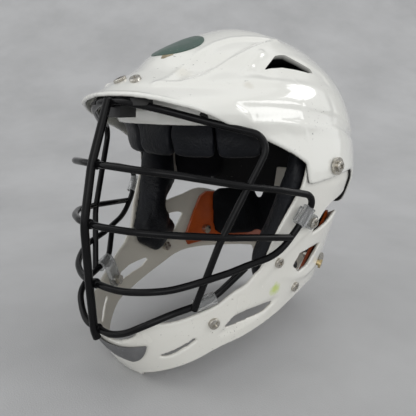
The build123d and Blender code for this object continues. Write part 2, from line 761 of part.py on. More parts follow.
def visor_clip():
    middle_y = hoop_top.Y + visor_clip_depth / 2
    height = shell_height - visor_clip_low_level
    stem = Pos(0, middle_y, visor_clip_low_level + height / 2) * Box(visor_clip_width, visor_clip_depth, height)
    yoke_height = shell_height - visor_yoke_level
    yoke = Pos(0, middle_y, visor_yoke_level + yoke_height / 2) * Box(visor_yoke_width, visor_clip_depth, yoke_height)
    return ((stem + yoke) & trim_room) - hoop_cutter


clip_body = visor_clip()
visor_screws = []
for turn in (-90 - visor_screw_turn, -90 + visor_screw_turn):
    visor_frame = turn_frame(turn, visor_screw_level, 0)
    shell -= shank_hole(visor_frame)
    clip_body -= cylinder_on(visor_frame, screw_shank_diameter + 2 * hole_clearance, -overrun, 0)
    shell -= head_seat(visor_frame, screw_head_diameter)
    visor_screws.append(screw(visor_frame, screw_head_diameter, screw_head_height, shell_wall + visor_screw_grip))
shell -= hoop_cutter
save("shell", shell)
save("visor_bumpers", [bumper(place, side) for place in bumper_route_shares for side in (1, -1)])
save("visor_clip", clip_body)
save("visor_screws", visor_screws)

# Plain round badge on the front of the dome
decal_diameter = 41.0
decal_thickness = 0.5
decal_level = 244.5
decal_drop = 4.0


def front_decal():
    skin = hollow_wall(shell_low_level, shell_height, shell_level_shares, -decal_thickness, decal_thickness)
    return skin & cylinder_on(turn_frame(-90, decal_level, 0), decal_diameter, -decal_drop, decal_drop)


save("front_decal", front_decal())

# The whole helmet is moved in plan and height, so that its box stands centred on the table's origin
boxes = [solid.bounding_box() for solids in parts.values() for solid in solids]
lowest = min(box.min.Z for box in boxes)
middle_y = (min(box.min.Y for box in boxes) + max(box.max.Y for box in boxes)) / 2
print("shift", -middle_y, -lowest)

for name, solids in parts.items():
    moved = [Solid(solid.wrapped).moved(Location((0, -middle_y, -lowest))) for solid in solids]
    export_step(Compound(children=moved), f"parts/{name}.step")
    print(name, len(solids), round(sum(solid.volume for solid in solids)))
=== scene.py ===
import json
import math

import bmesh
import bpy
import numpy as np
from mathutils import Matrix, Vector, noise

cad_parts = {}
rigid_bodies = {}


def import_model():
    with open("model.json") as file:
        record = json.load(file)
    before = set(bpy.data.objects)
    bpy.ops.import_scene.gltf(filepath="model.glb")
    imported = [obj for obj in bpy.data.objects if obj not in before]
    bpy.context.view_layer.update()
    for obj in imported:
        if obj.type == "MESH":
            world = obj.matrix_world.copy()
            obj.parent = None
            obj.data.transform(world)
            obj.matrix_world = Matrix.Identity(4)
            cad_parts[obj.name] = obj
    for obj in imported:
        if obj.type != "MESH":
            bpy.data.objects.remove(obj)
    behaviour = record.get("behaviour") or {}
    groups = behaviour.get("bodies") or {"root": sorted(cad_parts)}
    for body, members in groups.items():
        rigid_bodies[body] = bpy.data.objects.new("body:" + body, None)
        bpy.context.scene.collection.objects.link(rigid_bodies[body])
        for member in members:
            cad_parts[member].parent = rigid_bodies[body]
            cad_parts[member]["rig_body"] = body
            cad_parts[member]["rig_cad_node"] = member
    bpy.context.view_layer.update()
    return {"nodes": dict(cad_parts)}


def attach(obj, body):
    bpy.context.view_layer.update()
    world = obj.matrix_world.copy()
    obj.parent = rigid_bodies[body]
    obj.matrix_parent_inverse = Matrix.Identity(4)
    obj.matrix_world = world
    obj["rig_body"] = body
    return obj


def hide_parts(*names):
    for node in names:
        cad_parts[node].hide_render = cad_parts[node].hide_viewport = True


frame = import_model()
nodes = frame["nodes"]
print("frame loaded, nodes:", len(nodes))

# Millimetres to metres, the frame's own shift along Y, and the least length to divide by
milli = 0.001
shiftY = 18.51
tiny = 1e-9

# Sizes of the moulded walls, the same as the solids have
helmet = {
    "top": 262.5, "viewHeight": 264.5, "halfWidth": 102.0, "frontReach": 153.0, "rearReach": 124.0,
    "crownY": -15.0, "widestY": 10.0, "shellWall": 3.5, "jawInset": 3.8, "jawWall": 3.2,
    "sideShoulder": 140.0, "frontShoulder": 196.0, "rearShoulder": 168.0, "chinShoulder": 45.0,
    "sideDrawIn": 31.0, "widestShift": 56.0, "rearDrawIn": 46.0, "chinDrawIn": 21.0, "drawInPower": 1.5,
    "sideCurve": (3.0, 1.69), "frontCurve": (1.13, 1.26), "rearCurve": (2.2, 2.2),
    "frontRound": (1.75, 0.25), "rearRound": (1.85, 0.55),
}
# The dome as the photograph shows it: drawn in over the visor, flared along its rim, slimmer at the sides
dome = dict(helmet, top=261.85, sideCurve=(1.943, 2.193), frontCurve=(1.069, 1.368), rearCurve=(2.197, 2.619),
            bowLevels=(178, 203, 214, 226, 240, 256), bow=(0, -0.6, -3.2, -5.3, 1.5, 0),
            fullness=(0, 0.51, 0.20, -0.06, 0, 0))
domeLimits = {"behind": 3.0, "ahead": 12.0, "fromY": -75.0, "toY": -40.0, "above": 150.0, "poleGap": 0.5}


# Wall surface: the same level outlines as the solids
def closing(level, shoulder, top, curve):
    climb = np.clip((level - shoulder) / (top - shoulder), 0, 1)
    return np.maximum(1 - climb ** curve[0], 0) ** (1 / curve[1])


def softStep(share):
    return share * share * (3 - 2 * share)


def alongLevels(level, levels, values):
    # Soft steps between values that stand at levels
    level = np.clip(level, levels[0], levels[-1])
    k = np.clip(np.searchsorted(levels, level, "right") - 1, 0, len(levels) - 2)
    share = softStep((level - np.take(levels, k)) / (np.take(levels, k + 1) - np.take(levels, k)))
    return np.take(values, k) * (1 - share) + np.take(values, k + 1) * share


def ringSizes(level, inset, h=helmet):
    level = np.asarray(level, float)
    top = h["top"] - inset
    side, front, rear = (closing(level, h[name + "Shoulder"], top, h[name + "Curve"])
                         for name in ("side", "front", "rear"))
    belowSide, belowRear, belowChin = (np.maximum(0, h[name + "Shoulder"] - level) / h[name + "Shoulder"]
                                       for name in ("side", "rear", "chin"))
    halfWidth = (h["halfWidth"] - inset) * side - h["sideDrawIn"] * belowSide
    widest = h["crownY"] + (h["widestY"] - h["crownY"]) * side - h["widestShift"] * belowSide
    frontY = h["crownY"] - (h["frontReach"] - inset + h["crownY"]) * front
    frontY = frontY + h["chinDrawIn"] * belowChin ** h["drawInPower"]
    rearY = h["crownY"] + (h["rearReach"] - inset - h["crownY"]) * rear
    rearY = rearY - h["rearDrawIn"] * belowRear ** h["drawInPower"]
    frontPower = h["frontRound"][0] + h["frontRound"][1] * belowSide
    rearPower = h["rearRound"][0] + h["rearRound"][1] * belowSide
    if "bow" in h:
        frontY = frontY - alongLevels(level, h["bowLevels"], h["bow"])
        frontPower = frontPower + alongLevels(level, h["bowLevels"], h["fullness"])
    return halfWidth, widest, frontY, rearY, frontPower, rearPower


def halfRing(ahead, sizes):
    # Power and reach of the front or rear half of a ring
    _, widest, frontY, rearY, frontPower, rearPower = sizes
    return np.where(ahead, frontPower, rearPower), np.where(ahead, widest - frontY, rearY - widest)


def ringPoints(level, inset, turn, h=helmet):
    sizes = ringSizes(level, inset, h)
    cosine, sine = np.cos(turn), np.sin(turn)
    power, reach = halfRing(sine < 0, sizes)
    x = sizes[0] * np.sign(cosine) * np.abs(cosine) ** (2 / power)
    y = sizes[1] + reach * np.sign(sine) * np.abs(sine) ** (2 / power)
    return np.stack([x, y, np.broadcast_to(level, x.shape)], -1)


def domeShift(points):
    # How far the photograph's dome stands from the solids' one, at each point on or inside the dome
    x, y, level = np.moveaxis(np.asarray(points, float), -1, 0)
    above = domeLimits["above"]
    level = np.clip(level, above, helmet["top"] - domeLimits["poleGap"])
    sizes = ringSizes(level, 0)
    halfWidth, widest = sizes[:2]
    power, reach = halfRing(y < widest, sizes)
    across = np.sign(x) * (np.abs(x) / halfWidth) ** (power / 2)
    along = np.sign(y - widest) * (np.abs(y - widest) / reach) ** (power / 2)
    climb = (dome["top"] - above) / (helmet["top"] - above)
    turn = np.arctan2(along, across)
    shift = ringPoints(above + (level - above) * climb, 0, turn, dome) - ringPoints(level, 0, turn)
    share = np.clip((y - domeLimits["fromY"]) / (domeLimits["toY"] - domeLimits["fromY"]), 0, 1)
    limit = domeLimits["ahead"] + (domeLimits["behind"] - domeLimits["ahead"]) * share
    length = np.maximum(np.linalg.norm(shift, axis=-1), tiny)
    return shift * (np.minimum(length, limit) / length)[..., None]


def wallX(y, level, inset):
    sizes = ringSizes(level, inset)
    power, reach = halfRing(y < sizes[1], sizes)
    share = np.minimum(1, np.abs(y - sizes[1]) / reach)
    return sizes[0] * (1 - share ** power) ** (1 / power)


def halve(isInside, low, high, rounds=30):
    # Narrows the span between low, where the test holds, and high, where it doesn't
    for _ in range(rounds):
        middle = (low + high) / 2
        inside = isInside(middle)
        low, high = np.where(inside, middle, low), np.where(inside, high, middle)
    return low, high


def evenTurns(count):
    return 2 * math.pi * (np.arange(count) + 0.5) / count


def sidePlace(share):
    return (share[0] * helmet["frontReach"], share[1] * helmet["viewHeight"])


def smoothRun(shares, steps=12):
    # Catmull-Rom points through places of the side view
    places = np.array([sidePlace(s) for s in shares])
    if len(places) == 2:
        return places
    padded = np.vstack([2 * places[0] - places[1], places, 2 * places[-1] - places[-2]])
    points = []
    for k in range(1, len(padded) - 2):
        a, b, c, d = padded[k - 1:k + 3]
        for step in range(steps):
            t = step / steps
            points.append(0.5 * (2 * b + (c - a) * t + (2 * a - 5 * b + 4 * c - d) * t ** 2
                                 + (3 * b - a - 3 * c + d) * t ** 3))
    points.append(places[-1])
    return np.array(points)


# Meshes
def newObject(name, data):
    obj = bpy.data.objects.new(name, data)
    bpy.context.scene.collection.objects.link(obj)
    return obj


def meshObject(name, verts, faces):
    mesh = bpy.data.meshes.new(name)
    mesh.from_pydata([tuple(v) for v in verts], [], faces)
    mesh.update()
    return newObject(name, mesh)


def coordinates(obj):
    values = np.zeros(len(obj.data.vertices) * 3)
    obj.data.vertices.foreach_get("co", values)
    return values.reshape(-1, 3)


def moveTo(obj, places):
    obj.data.vertices.foreach_set("co", places.ravel())
    obj.data.update()


def toRow(points):
    return (np.asarray(points, float) + np.array([0, shiftY, 0])) * milli


def activate(obj):
    bpy.ops.object.select_all(action="DESELECT")
    obj.select_set(True)
    bpy.context.view_layer.objects.active = obj


def applyModifiers(obj):
    activate(obj)
    for modifier in list(obj.modifiers):
        bpy.ops.object.modifier_apply(modifier=modifier.name)


def joinObjects(objects, name):
    activate(objects[0])
    for obj in objects[1:]:
        obj.select_set(True)
    bpy.ops.object.join()
    objects[0].name = name
    objects[0].data.name = name
    return objects[0]


def copyNode(node, name):
    obj = nodes[node].copy()
    obj.data = nodes[node].data.copy()
    obj.parent = None
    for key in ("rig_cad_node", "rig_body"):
        if key in obj:
            del obj[key]
    obj.name = name
    obj.data.name = name
    obj.data.materials.clear()
    bpy.context.scene.collection.objects.link(obj)
    return obj


def smoothShade(obj, angle=None):
    activate(obj)
    if angle is None:
        bpy.ops.object.shade_smooth()
    else:
        bpy.ops.object.shade_smooth_by_angle(angle=math.radians(angle))


def remesh(obj, voxel, smoothing):
    step = obj.modifiers.new("voxels", "REMESH")
    step.mode = "VOXEL"
    step.voxel_size = voxel * milli
    relax = obj.modifiers.new("relax", "SMOOTH")
    relax.factor = 0.5
    relax.iterations = smoothing
    applyModifiers(obj)
    smoothShade(obj)


def cutWith(obj, cutter, operation="DIFFERENCE"):
    step = obj.modifiers.new("cut", "BOOLEAN")
    step.operation = operation
    step.solver = "EXACT"
    step.object = cutter
    applyModifiers(obj)
    bpy.data.objects.remove(cutter)


def faceOut(obj, edit=None):
    # Turns the faces outwards, after an edit of the mesh where there is one
    mesh = bmesh.new()
    mesh.from_mesh(obj.data)
    if edit:
        edit(mesh)
    bmesh.ops.recalc_face_normals(mesh, faces=mesh.faces)
    mesh.to_mesh(obj.data)
    mesh.free()
    return obj


def block(name, verts):
    # Block between two outlines with the same count of corners
    count = len(verts) // 2
    faces = [list(range(count)), list(range(2 * count - 1, count - 1, -1))]
    faces += [[k, count + k, count + (k + 1) % count, (k + 1) % count] for k in range(count)]
    return meshObject(name, toRow(verts), faces)


def prism(name, outline, axis, low, high):
    # Block with an outline in the side view (axis X) or in the front view (axis Y)
    verts = [(reach, a, b) if axis == "X" else (a, reach, b) for reach in (low, high) for a, b in outline]
    return faceOut(block(name, verts))


def tube(name, points, radius, closed=False, sides=10):
    # Round bead along points, with steady frames
    points = np.asarray(points, float)
    count = len(points)
    along = np.roll(points, -1, 0) - np.roll(points, 1, 0) if closed else np.gradient(points, axis=0)
    along /= np.maximum(np.linalg.norm(along, axis=1, keepdims=True), tiny)
    slant = (0.31, 0.42, 0.85)
    across = np.cross(along[0], slant)
    verts = []
    for k in range(count):
        across = across - along[k] * np.dot(across, along[k])
        across = across / np.linalg.norm(across)
        over = np.cross(along[k], across)
        for side in range(sides):
            angle = 2 * math.pi * side / sides
            verts.append(points[k] + radius * (math.cos(angle) * across + math.sin(angle) * over))
    faces = []
    for k in range(count if closed else count - 1):
        here, there = k * sides, (k + 1) % count * sides
        for side in range(sides):
            other = (side + 1) % sides
            faces.append([here + side, here + other, there + other, there + side])
    if not closed:
        faces.append(list(range(sides))[::-1])
        faces.append([(count - 1) * sides + side for side in range(sides)])
    return meshObject(name, toRow(verts), faces)


# Relief: raised ribs along lines and sunk or raised panels with soft edges
def lineDistance(points, line):
    # Distance of each point to a line of places, in as many axes as the line has
    best = np.full(len(points), np.inf)
    for a, b in zip(line[:-1], line[1:]):
        run = b - a
        share = np.clip(((points - a) @ run) / max(run @ run, tiny), 0, 1)
        best = np.minimum(best, np.linalg.norm(points - (a + share[:, None] * run), axis=1))
    return best


def insideOutline(points, outline):
    inside = np.zeros(len(points), bool)
    for (x1, y1), (x2, y2) in zip(outline, np.roll(outline, -1, 0)):
        crosses = (y1 > points[:, 1]) != (y2 > points[:, 1])
        rise = y2 - y1 if abs(y2 - y1) > tiny else tiny
        inside ^= crosses & (points[:, 0] < (x2 - x1) * (points[:, 1] - y1) / rise + x1)
    return inside


def reliefHeight(grid, look):
    mirrored = np.array(grid).reshape(-1, 3)
    mirrored[:, 0] = np.abs(mirrored[:, 0])
    height = np.zeros(len(mirrored))
    for rib in look["ribs"]:
        distance = lineDistance(mirrored, np.array(rib["line"], float))
        height += rib["height"] * np.exp(-(distance / rib["width"]) ** 2)
    for panel in look["panels"]:
        flat = mirrored[:, [0, 1] if panel["plane"] == "top" else [1, 2]]
        outline = np.array(panel["outline"], float)
        distance = lineDistance(flat, np.vstack([outline, outline[:1]]))
        share = softStep(np.clip(distance / panel["soft"], 0, 1))
        allowed = mirrored[:, 2] > panel.get("above", -1)
        height += np.where(insideOutline(flat, outline) & allowed, panel["height"] * share, 0)
    return height.reshape(grid.shape[:2])[:, :, None]


def gridNormals(grid):
    alongTurn = np.roll(grid, -1, 0) - np.roll(grid, 1, 0)
    alongLevel = np.gradient(grid, axis=1)
    normal = np.cross(alongTurn, alongLevel)
    length = np.linalg.norm(normal, axis=2, keepdims=True)
    return np.where(length > tiny, normal / np.maximum(length, tiny), np.array([0, 0, 1.0]))


def closedWall(name, outer, inner, capped=False, around=True):
    # Solid between two grids of points; the last level of each closes in a pole if capped
    turns, levels = outer.shape[:2]
    verts = list(outer.reshape(-1, 3)) + list(inner.reshape(-1, 3))
    base = turns * levels
    faces = []
    for i in range(turns if around else turns - 1):
        here, there = i * levels, (i + 1) % turns * levels
        for a, b in zip(range(here, here + levels - 1), range(there, there + levels - 1)):
            faces += [[a, b, b + 1, a + 1], [base + a + 1, base + b + 1, base + b, base + a]]
        faces.append([here, base + here, base + there, there])
        if not capped:
            a, b = here + levels - 1, there + levels - 1
            faces.append([a, b, base + b, base + a])
    for i, flip in () if around else ((0, True), (turns - 1, False)):
        for a in range(i * levels, (i + 1) * levels - 1):
            quad = [a, base + a, base + a + 1, a + 1]
            faces.append(quad[::-1] if flip else quad)
    if capped:
        for start, grid, flip in ((0, outer, False), (base, inner, True)):
            verts.append(grid[:, -1].mean(0))
            pole = len(verts) - 1
            for i in range(turns):
                a, b = start + i * levels + levels - 1, start + ((i + 1) % turns) * levels + levels - 1
                faces.append([b, a, pole] if flip else [a, b, pole])
    return meshObject(name, toRow(verts), faces)


# Outer shell
shellLook = {
    "turns": 420, "levels": 170, "voxel": 1.15, "smoothing": 7, "edgeRadius": 2.0, "poleShare": 0.994,
    "searchLevels": (60.0, 230.0), "shadeAngle": 40,
    "rim": [(-1.09, 0.783), (-0.954, 0.790), (-0.88, 0.789), (-0.801, 0.776), (-0.741, 0.765),
            (-0.689, 0.757), (-0.628, 0.743), (-0.583, 0.728), (-0.501, 0.702), (-0.298, 0.645),
            (-0.196, 0.608), (-0.182, 0.596)],
    "hem": [(-0.180, 0.550), (0.000, 0.560), (0.105, 0.567), (0.290, 0.560), (0.380, 0.480), (0.497, 0.428),
            (0.700, 0.405), (1.100, 0.400)],
    "ribs": [
        {"line": [(25, -116, 215), (30, -107, 219), (30, -83, 232), (29, -65, 241), (28, -52, 246),
                  (30, -39, 250), (37, -25, 252), (46, -4, 251)], "height": 0.7, "width": 2.2},
        {"line": [(25, -116, 215), (39, -105, 216), (46, -90, 220), (49, -70, 229), (51, -47, 238),
                  (49, -21.5, 247), (46, -4, 251)], "height": 1.0, "width": 2.2},
        {"line": [(61, -62, 224), (59, -46, 232), (56, -32, 240)], "height": 1.1, "width": 2.2},
        {"line": [(66.5, -63, 218.6), (80, -36, 216), (85, -17, 214.5), (88, 2, 210), (86, 30, 204)],
         "height": 0.5, "width": 3.0},
    ],
    "panels": [
        {"plane": "top", "above": 200, "height": -1.5, "soft": 3.5,
         "outline": [(25, -116), (30, -107), (30, -83), (29, -65), (28, -52), (30, -39), (37, -25), (46, -4),
                     (49, -21.5), (51, -47), (49, -70), (46, -90), (39, -105)]},
        {"plane": "side", "above": 150, "height": -1.5, "soft": 3.5,
         "outline": [(-78, 204), (-67, 204), (-54, 203.5), (-36, 202), (-21, 200), (10, 196), (50, 184),
                     (85, 168), (85, 160), (50, 172), (9.5, 183), (-30, 188), (-50, 190), (-68, 190)]},
        {"plane": "side", "above": 190, "height": -0.8, "soft": 5.0,
         "outline": [(-60, 220), (-50, 232), (-30, 241), (-5, 238), (20, 226), (20, 214), (-17, 215),
                     (-36, 216.5)]},
    ],
}


def lowLevels(turn):
    # Level of the shell's lower edge at each turn, from the side view's outline
    edge = np.vstack([smoothRun(shellLook["rim"]), smoothRun(shellLook["hem"])])
    low, high = (np.full(len(turn), level) for level in shellLook["searchLevels"])

    def below(level):
        return level < np.interp(ringPoints(level, 0, turn)[:, 1], edge[:, 0], edge[:, 1])
    return sum(halve(below, low, high, rounds=40)) / 2


browLook = {"radius": 90.2, "wall": 2.4, "centreY": -10.0, "frontY": -45.0, "level": 187.0, "turn": 120.0,
            "steps": 90, "rows": 16, "topGap": 1.0}


def makeBrowWall():
    # Upright wall that the brow cushions lie against, up to the middle of the shell's wall
    look = browLook
    turn = np.radians(-90 + look["turn"] * (np.arange(look["steps"]) / (look["steps"] - 1) - 0.5))
    grids = []
    for radius in (look["radius"], look["radius"] - look["wall"]):
        x, y = radius * np.cos(turn), look["centreY"] + radius * np.sin(turn)
        low, high = np.full(len(turn), look["level"]), np.full(len(turn), helmet["top"] - look["topGap"])
        top = halve(lambda level: wallX(y, level, helmet["shellWall"] / 2) > np.abs(x), low, high)[0]
        level = look["level"] + (top[:, None] - look["level"]) * np.linspace(0, 1, look["rows"])[None, :]
        across, along = (np.broadcast_to(values[:, None], level.shape) for values in (x, y))
        grids.append(np.stack([across, along, level], -1))
    return closedWall("browWall", grids[0], grids[1], around=False)


def dragToDome(obj):
    # Moves a piece that touches the dome along with it
    places = coordinates(obj)
    points = places / milli - np.array([0, shiftY, 0])
    shift = domeShift(points) * (points[:, 2:] > domeLimits["above"])
    moveTo(obj, places + shift * milli)


def makeShell():
    look = shellLook
    turn = evenTurns(look["turns"])
    climb = np.sin(np.linspace(0, look["poleShare"], look["levels"]) * math.pi / 2)
    low = lowLevels(turn)[:, None]
    turn = turn[:, None]
    shift = domeShift(ringPoints(low + (helmet["top"] - low) * climb, 0, turn))
    grids = []
    for inset in (0, helmet["shellWall"]):
        grid = ringPoints(low + (helmet["top"] - inset - low) * climb, inset, turn)
        grids.append(grid + shift + gridNormals(grid) * reliefHeight(grid, look))
    wall = closedWall("shellWallMesh", grids[0], grids[1], capped=True)
    middle = (grids[0][:, 0] + grids[1][:, 0]) / 2
    bead = tube("shellEdge", middle, look["edgeRadius"], closed=True)
    browWall = makeBrowWall()
    dragToDome(browWall)
    shell = joinObjects([wall, bead, browWall], "helmetShell")
    remesh(shell, look["voxel"], look["smoothing"])
    return shell


ventLook = {
    "front": {"y": -17.0, "level": 232.0, "length": 56.0, "height": 17.0,
              "outline": [(-0.48, -0.19), (-0.17, 0.60), (-0.01, 0.66), (0.37, -0.10), (0.36, -0.35),
                          (0.28, -0.39), (-0.17, -0.18)]},
    "back": {"y": 70.0, "level": 205.0, "length": 34.0, "height": 12.0,
             "outline": [(-0.50, 0.10), (-0.36, 0.50), (0.34, 0.50), (0.50, -0.10), (0.30, -0.50),
                         (-0.30, -0.40)]},
    "depth": 14.0, "step": 0.3, "edge": 1.6, "edgeSteps": 4,
}


def wallFrame(y, level, inset, side=1):
    # Origin, along, up and out directions on the wall's outside
    def at(py, pz):
        return np.array([side * float(wallX(np.array(py), np.array(pz), inset)), py, pz])
    here = at(y, level)
    along = at(y + ventLook["step"], level) - here
    up = at(y, level + ventLook["step"]) - here
    out = np.cross(along, up) * side
    along /= np.linalg.norm(along)
    out /= np.linalg.norm(out)
    return here, along, np.cross(out, along) * side, out


def ventCutter(vent, side):
    here, along, up, out = wallFrame(vent["y"], vent["level"], 0, side)
    verts = [here + along * a * vent["length"] + up * b * vent["height"] + out * depth
             for depth in (-ventLook["depth"], ventLook["depth"]) for a, b in vent["outline"]]

    def roundCorners(mesh):
        longEdges = [e for e in mesh.edges if e.calc_length() > 1.5 * ventLook["depth"] * milli]
        bmesh.ops.bevel(mesh, geom=longEdges, offset=ventLook["edge"] * milli, segments=ventLook["edgeSteps"],
                        affect="EDGES", profile=0.5)
    return faceOut(block("ventCutter", verts), roundCorners)


helmetShell = makeShell()
for vent in ("front", "back"):
    for side in (1, -1):
        cutWith(helmetShell, ventCutter(ventLook[vent], side))
smoothShade(helmetShell, shellLook["shadeAngle"])
print("shell made:", len(helmetShell.data.vertices))

# Chin guard: a ring from the chin round the nape, with its windows and slots
jawLook = {
    "turns": 340, "levels": 130, "voxel": 1.05, "smoothing": 5, "edgeRadius": 1.85,
    "front": [(-1.120, 0.140), (-1.000, 0.140), (-0.941, 0.129), (-0.908, 0.147), (-0.889, 0.178),
              (-0.850, 0.189), (-0.784, 0.193), (-0.699, 0.208), (-0.608, 0.227), (-0.536, 0.253),
              (-0.464, 0.272), (-0.425, 0.295), (-0.379, 0.321), (-0.314, 0.416), (-0.230, 0.503),
              (-0.190, 0.545), (-0.150, 0.630)],
    "top": 178.0,
    "armTop": [(-0.150, 0.630), (0.240, 0.640)],
    "armRear": [(0.240, 0.640), (0.310, 0.570), (0.320, 0.490)],
    "gapTop": [(0.320, 0.490), (0.120, 0.478), (0.040, 0.462), (-0.020, 0.428), (-0.075, 0.378)],
    "gapLow": [(-0.075, 0.378), (-0.040, 0.378), (0.120, 0.392), (0.270, 0.410), (0.420, 0.385),
               (0.600, 0.345), (0.800, 0.330), (1.100, 0.325)],
    "rear": [(1.100, 0.325), (1.100, 0.172)],
    "low": [(1.100, 0.172), (0.500, 0.173), (0.130, 0.185), (-0.020, 0.178), (-0.134, 0.160), (-0.277, 0.138),
            (-0.447, 0.115), (-0.584, 0.100), (-0.692, 0.070), (-0.778, 0.044), (-0.808, 0.031),
            (-0.824, 0.019), (-0.831, 0.009), (-0.836, -0.003), (-1.120, -0.006)],
    "nose": [(-1.120, -0.006), (-1.120, 0.140)],
    "holes": [
        [(-0.163, 0.291), (-0.124, 0.327), (0.046, 0.333), (0.105, 0.325), (0.050, 0.290), (0.005, 0.266),
         (-0.090, 0.259)],
        [(-0.575, 0.154), (-0.529, 0.183), (-0.437, 0.193), (-0.307, 0.194), (-0.260, 0.189), (-0.333, 0.168),
         (-0.418, 0.164)],
        [(-0.860, 0.085), (-0.790, 0.106), (-0.700, 0.144), (-0.690, 0.136), (-0.780, 0.092)],
    ],
    "ribs": [
        {"line": [(90, -10, 110), (86, -28, 100), (80, -48, 86), (74, -62, 74)], "height": 1.3, "width": 3.5},
        {"line": [(78, -36, 72), (80, -20, 66), (80, 0, 62), (78, 22, 64)], "height": 1.2, "width": 3.5},
        {"line": [(60, -89, 44), (68, -69, 54), (73, -47, 58)], "height": 0.9, "width": 3.0},
    ],
    "panels": [
        {"plane": "side", "height": -1.2, "soft": 4.0,
         "outline": [(-95, 36), (-79, 53), (-43, 56), (-33, 52), (-53, 41), (-87, 33)]},
    ],
    "tail": [(13, 0), (37, 50), (24, 91), (24, 132)], "tailReach": 170.0, "blockReach": 150.0, "runSteps": 8,
}


def outlinePoints(*names):
    runs = [smoothRun(jawLook[name], jawLook["runSteps"]) for name in names]
    return np.vstack([run[:-1] for run in runs])


def wallLine(places, inset, side, slack=0.985):
    # Bead route along places of the side view, where the wall is there
    points = []
    for y, level in places:
        frontY, rearY = ringSizes(level, inset)[2:4]
        if frontY * slack < y < rearY * slack:
            points.append((side * float(wallX(np.array(y), np.array(level), inset)), y, level))
    return np.array(points)


def makeJaw():
    look = jawLook
    turn = evenTurns(look["turns"])[:, None]
    level = np.linspace(0, look["top"], look["levels"])[None, :]
    outer, inner = (ringPoints(level, inset, turn)
                    for inset in (helmet["jawInset"], helmet["jawInset"] + helmet["jawWall"]))
    ring = closedWall("jawRing", outer + gridNormals(outer) * reliefHeight(outer, look), inner)
    tailWall = ring.copy()
    tailWall.data = ring.data.copy()
    bpy.context.scene.collection.objects.link(tailWall)
    outline = outlinePoints("front", "armTop", "armRear", "gapTop", "gapLow", "rear", "low", "nose")
    cutWith(ring, prism("jawBlock", outline, "X", -look["blockReach"], look["blockReach"]), "INTERSECT")
    tail = look["tail"] + [(-x, z) for x, z in reversed(look["tail"])]
    cutWith(tailWall, prism("tailBlock", tail, "Y", 0, look["tailReach"]), "INTERSECT")
    for hole in look["holes"]:
        places = [sidePlace(share) for share in hole]
        cutWith(ring, prism("slotBlock", places, "X", -look["blockReach"], look["blockReach"]))
    inset = helmet["jawInset"] + helmet["jawWall"] / 2
    edges = ("front", "armTop"), ("armRear", "gapTop", "gapLow"), ("low",)
    beads = [tube("jawBead", wallLine(outlinePoints(*names), inset, side), look["edgeRadius"])
             for side in (1, -1) for names in edges]
    jaw = joinObjects([ring, tailWall] + beads, "jawGuard")
    remesh(jaw, look["voxel"], look["smoothing"])
    return jaw


jawGuard = makeJaw()
print("chin guard made:", len(jawGuard.data.vertices))


# Pads: each solid becomes a soft cushion that swells in a short cloth simulation
linerPad = {"body": "helmet", "slot": "liner_foam", "voxel": 3.2, "cap": 3.0, "wrinkle": 0.3,
            "wrinkleScale": 40.0, "fill": 0.6, "material": "liner"}
cheekPad = dict(linerPad, slot="pad_vinyl", voxel=2.8, wrinkle=0.35, wrinkleScale=50.0, fill=0.7,
                material="vinyl")
padLook = {
    "brow_pad": dict(cheekPad, name="browCushion", voxel=2.6, wrinkle=0.7, wrinkleScale=70.0),
    "cheek_pad_left": dict(cheekPad, name="cheekCushionLeft"),
    "cheek_pad_right": dict(cheekPad, name="cheekCushionRight"),
    "temple_pad_left": dict(linerPad, name="templeCushionLeft"),
    "temple_pad_right": dict(linerPad, name="templeCushionRight"),
    "crown_pads": dict(linerPad, name="crownCushion"),
    "back_pad": dict(linerPad, name="backCushion"),
    "nape_pad": dict(linerPad, name="napeCushion", body="cradle", slot="pad_vinyl", voxel=2.8, cap=2.5,
                     wrinkleScale=60.0, material="weave"),
}
padSmoothing, weldGap = 2, 0.00001
headCentre = Vector((0, -0.010 + shiftY * milli, 0.120))
clothLook = {"uniform_pressure_force": 4.0, "quality": 5, "mass": 0.3, "tension_stiffness": 18,
             "compression_stiffness": 12, "shear_stiffness": 5, "bending_stiffness": 0.4}
clothFrames = 20
heldFacing = {"from": 0.35, "span": 0.6}
wrinkleLook = {"stretch": np.array([1.6, 1.6, 0.6]), "sharpness": 2, "height": 0.5}


def vertexNormals(obj):
    values = np.zeros(len(obj.data.vertices) * 3)
    obj.data.vertex_normals.foreach_get("vector", values)
    return values.reshape(-1, 3)


def separateParts(obj, name):
    activate(obj)
    bpy.ops.object.mode_set(mode="EDIT")
    bpy.ops.mesh.select_all(action="SELECT")
    bpy.ops.mesh.remove_doubles(threshold=weldGap)
    bpy.ops.mesh.separate(type="LOOSE")
    bpy.ops.object.mode_set(mode="OBJECT")
    pieces = [o for o in bpy.context.selected_objects if o.type == "MESH"]
    pieces.sort(key=lambda o: tuple(np.round(coordinates(o).mean(0), 4)))
    for k, piece in enumerate(pieces):
        piece.name = name if len(pieces) == 1 else f"{name}{k + 1}"
    return pieces


def addCloth(piece):
    cloth = piece.modifiers.new("swell", "CLOTH")
    cloth.settings.use_pressure = True
    cloth.settings.effector_weights.gravity = 0
    for key, value in clothLook.items():
        setattr(cloth.settings, key, value)
    cloth.point_cache.frame_start = 1
    cloth.point_cache.frame_end = clothFrames


def freeShare(places, normal):
    # 0 on a cushion's back, which lies on the wall, and 1 on the face towards the head
    outward = places - np.array(headCentre)
    outward /= np.linalg.norm(outward, axis=1, keepdims=True)
    facing = (normal * outward).sum(1)
    return np.clip((heldFacing["from"] - facing) / heldFacing["span"], 0, 1)[:, None]


def settle(piece, look):
    # Takes the simulated shape, capped, and holds the back
    start = coordinates(piece)
    moved = coordinates(piece.evaluated_get(bpy.context.evaluated_depsgraph_get())) - start
    length = np.linalg.norm(moved, axis=1, keepdims=True)
    cap = look["cap"] * milli
    moved *= cap * np.tanh(length / cap) / np.maximum(length, tiny)
    piece.modifiers.remove(piece.modifiers["swell"])
    moveTo(piece, start + moved * freeShare(start, vertexNormals(piece)))


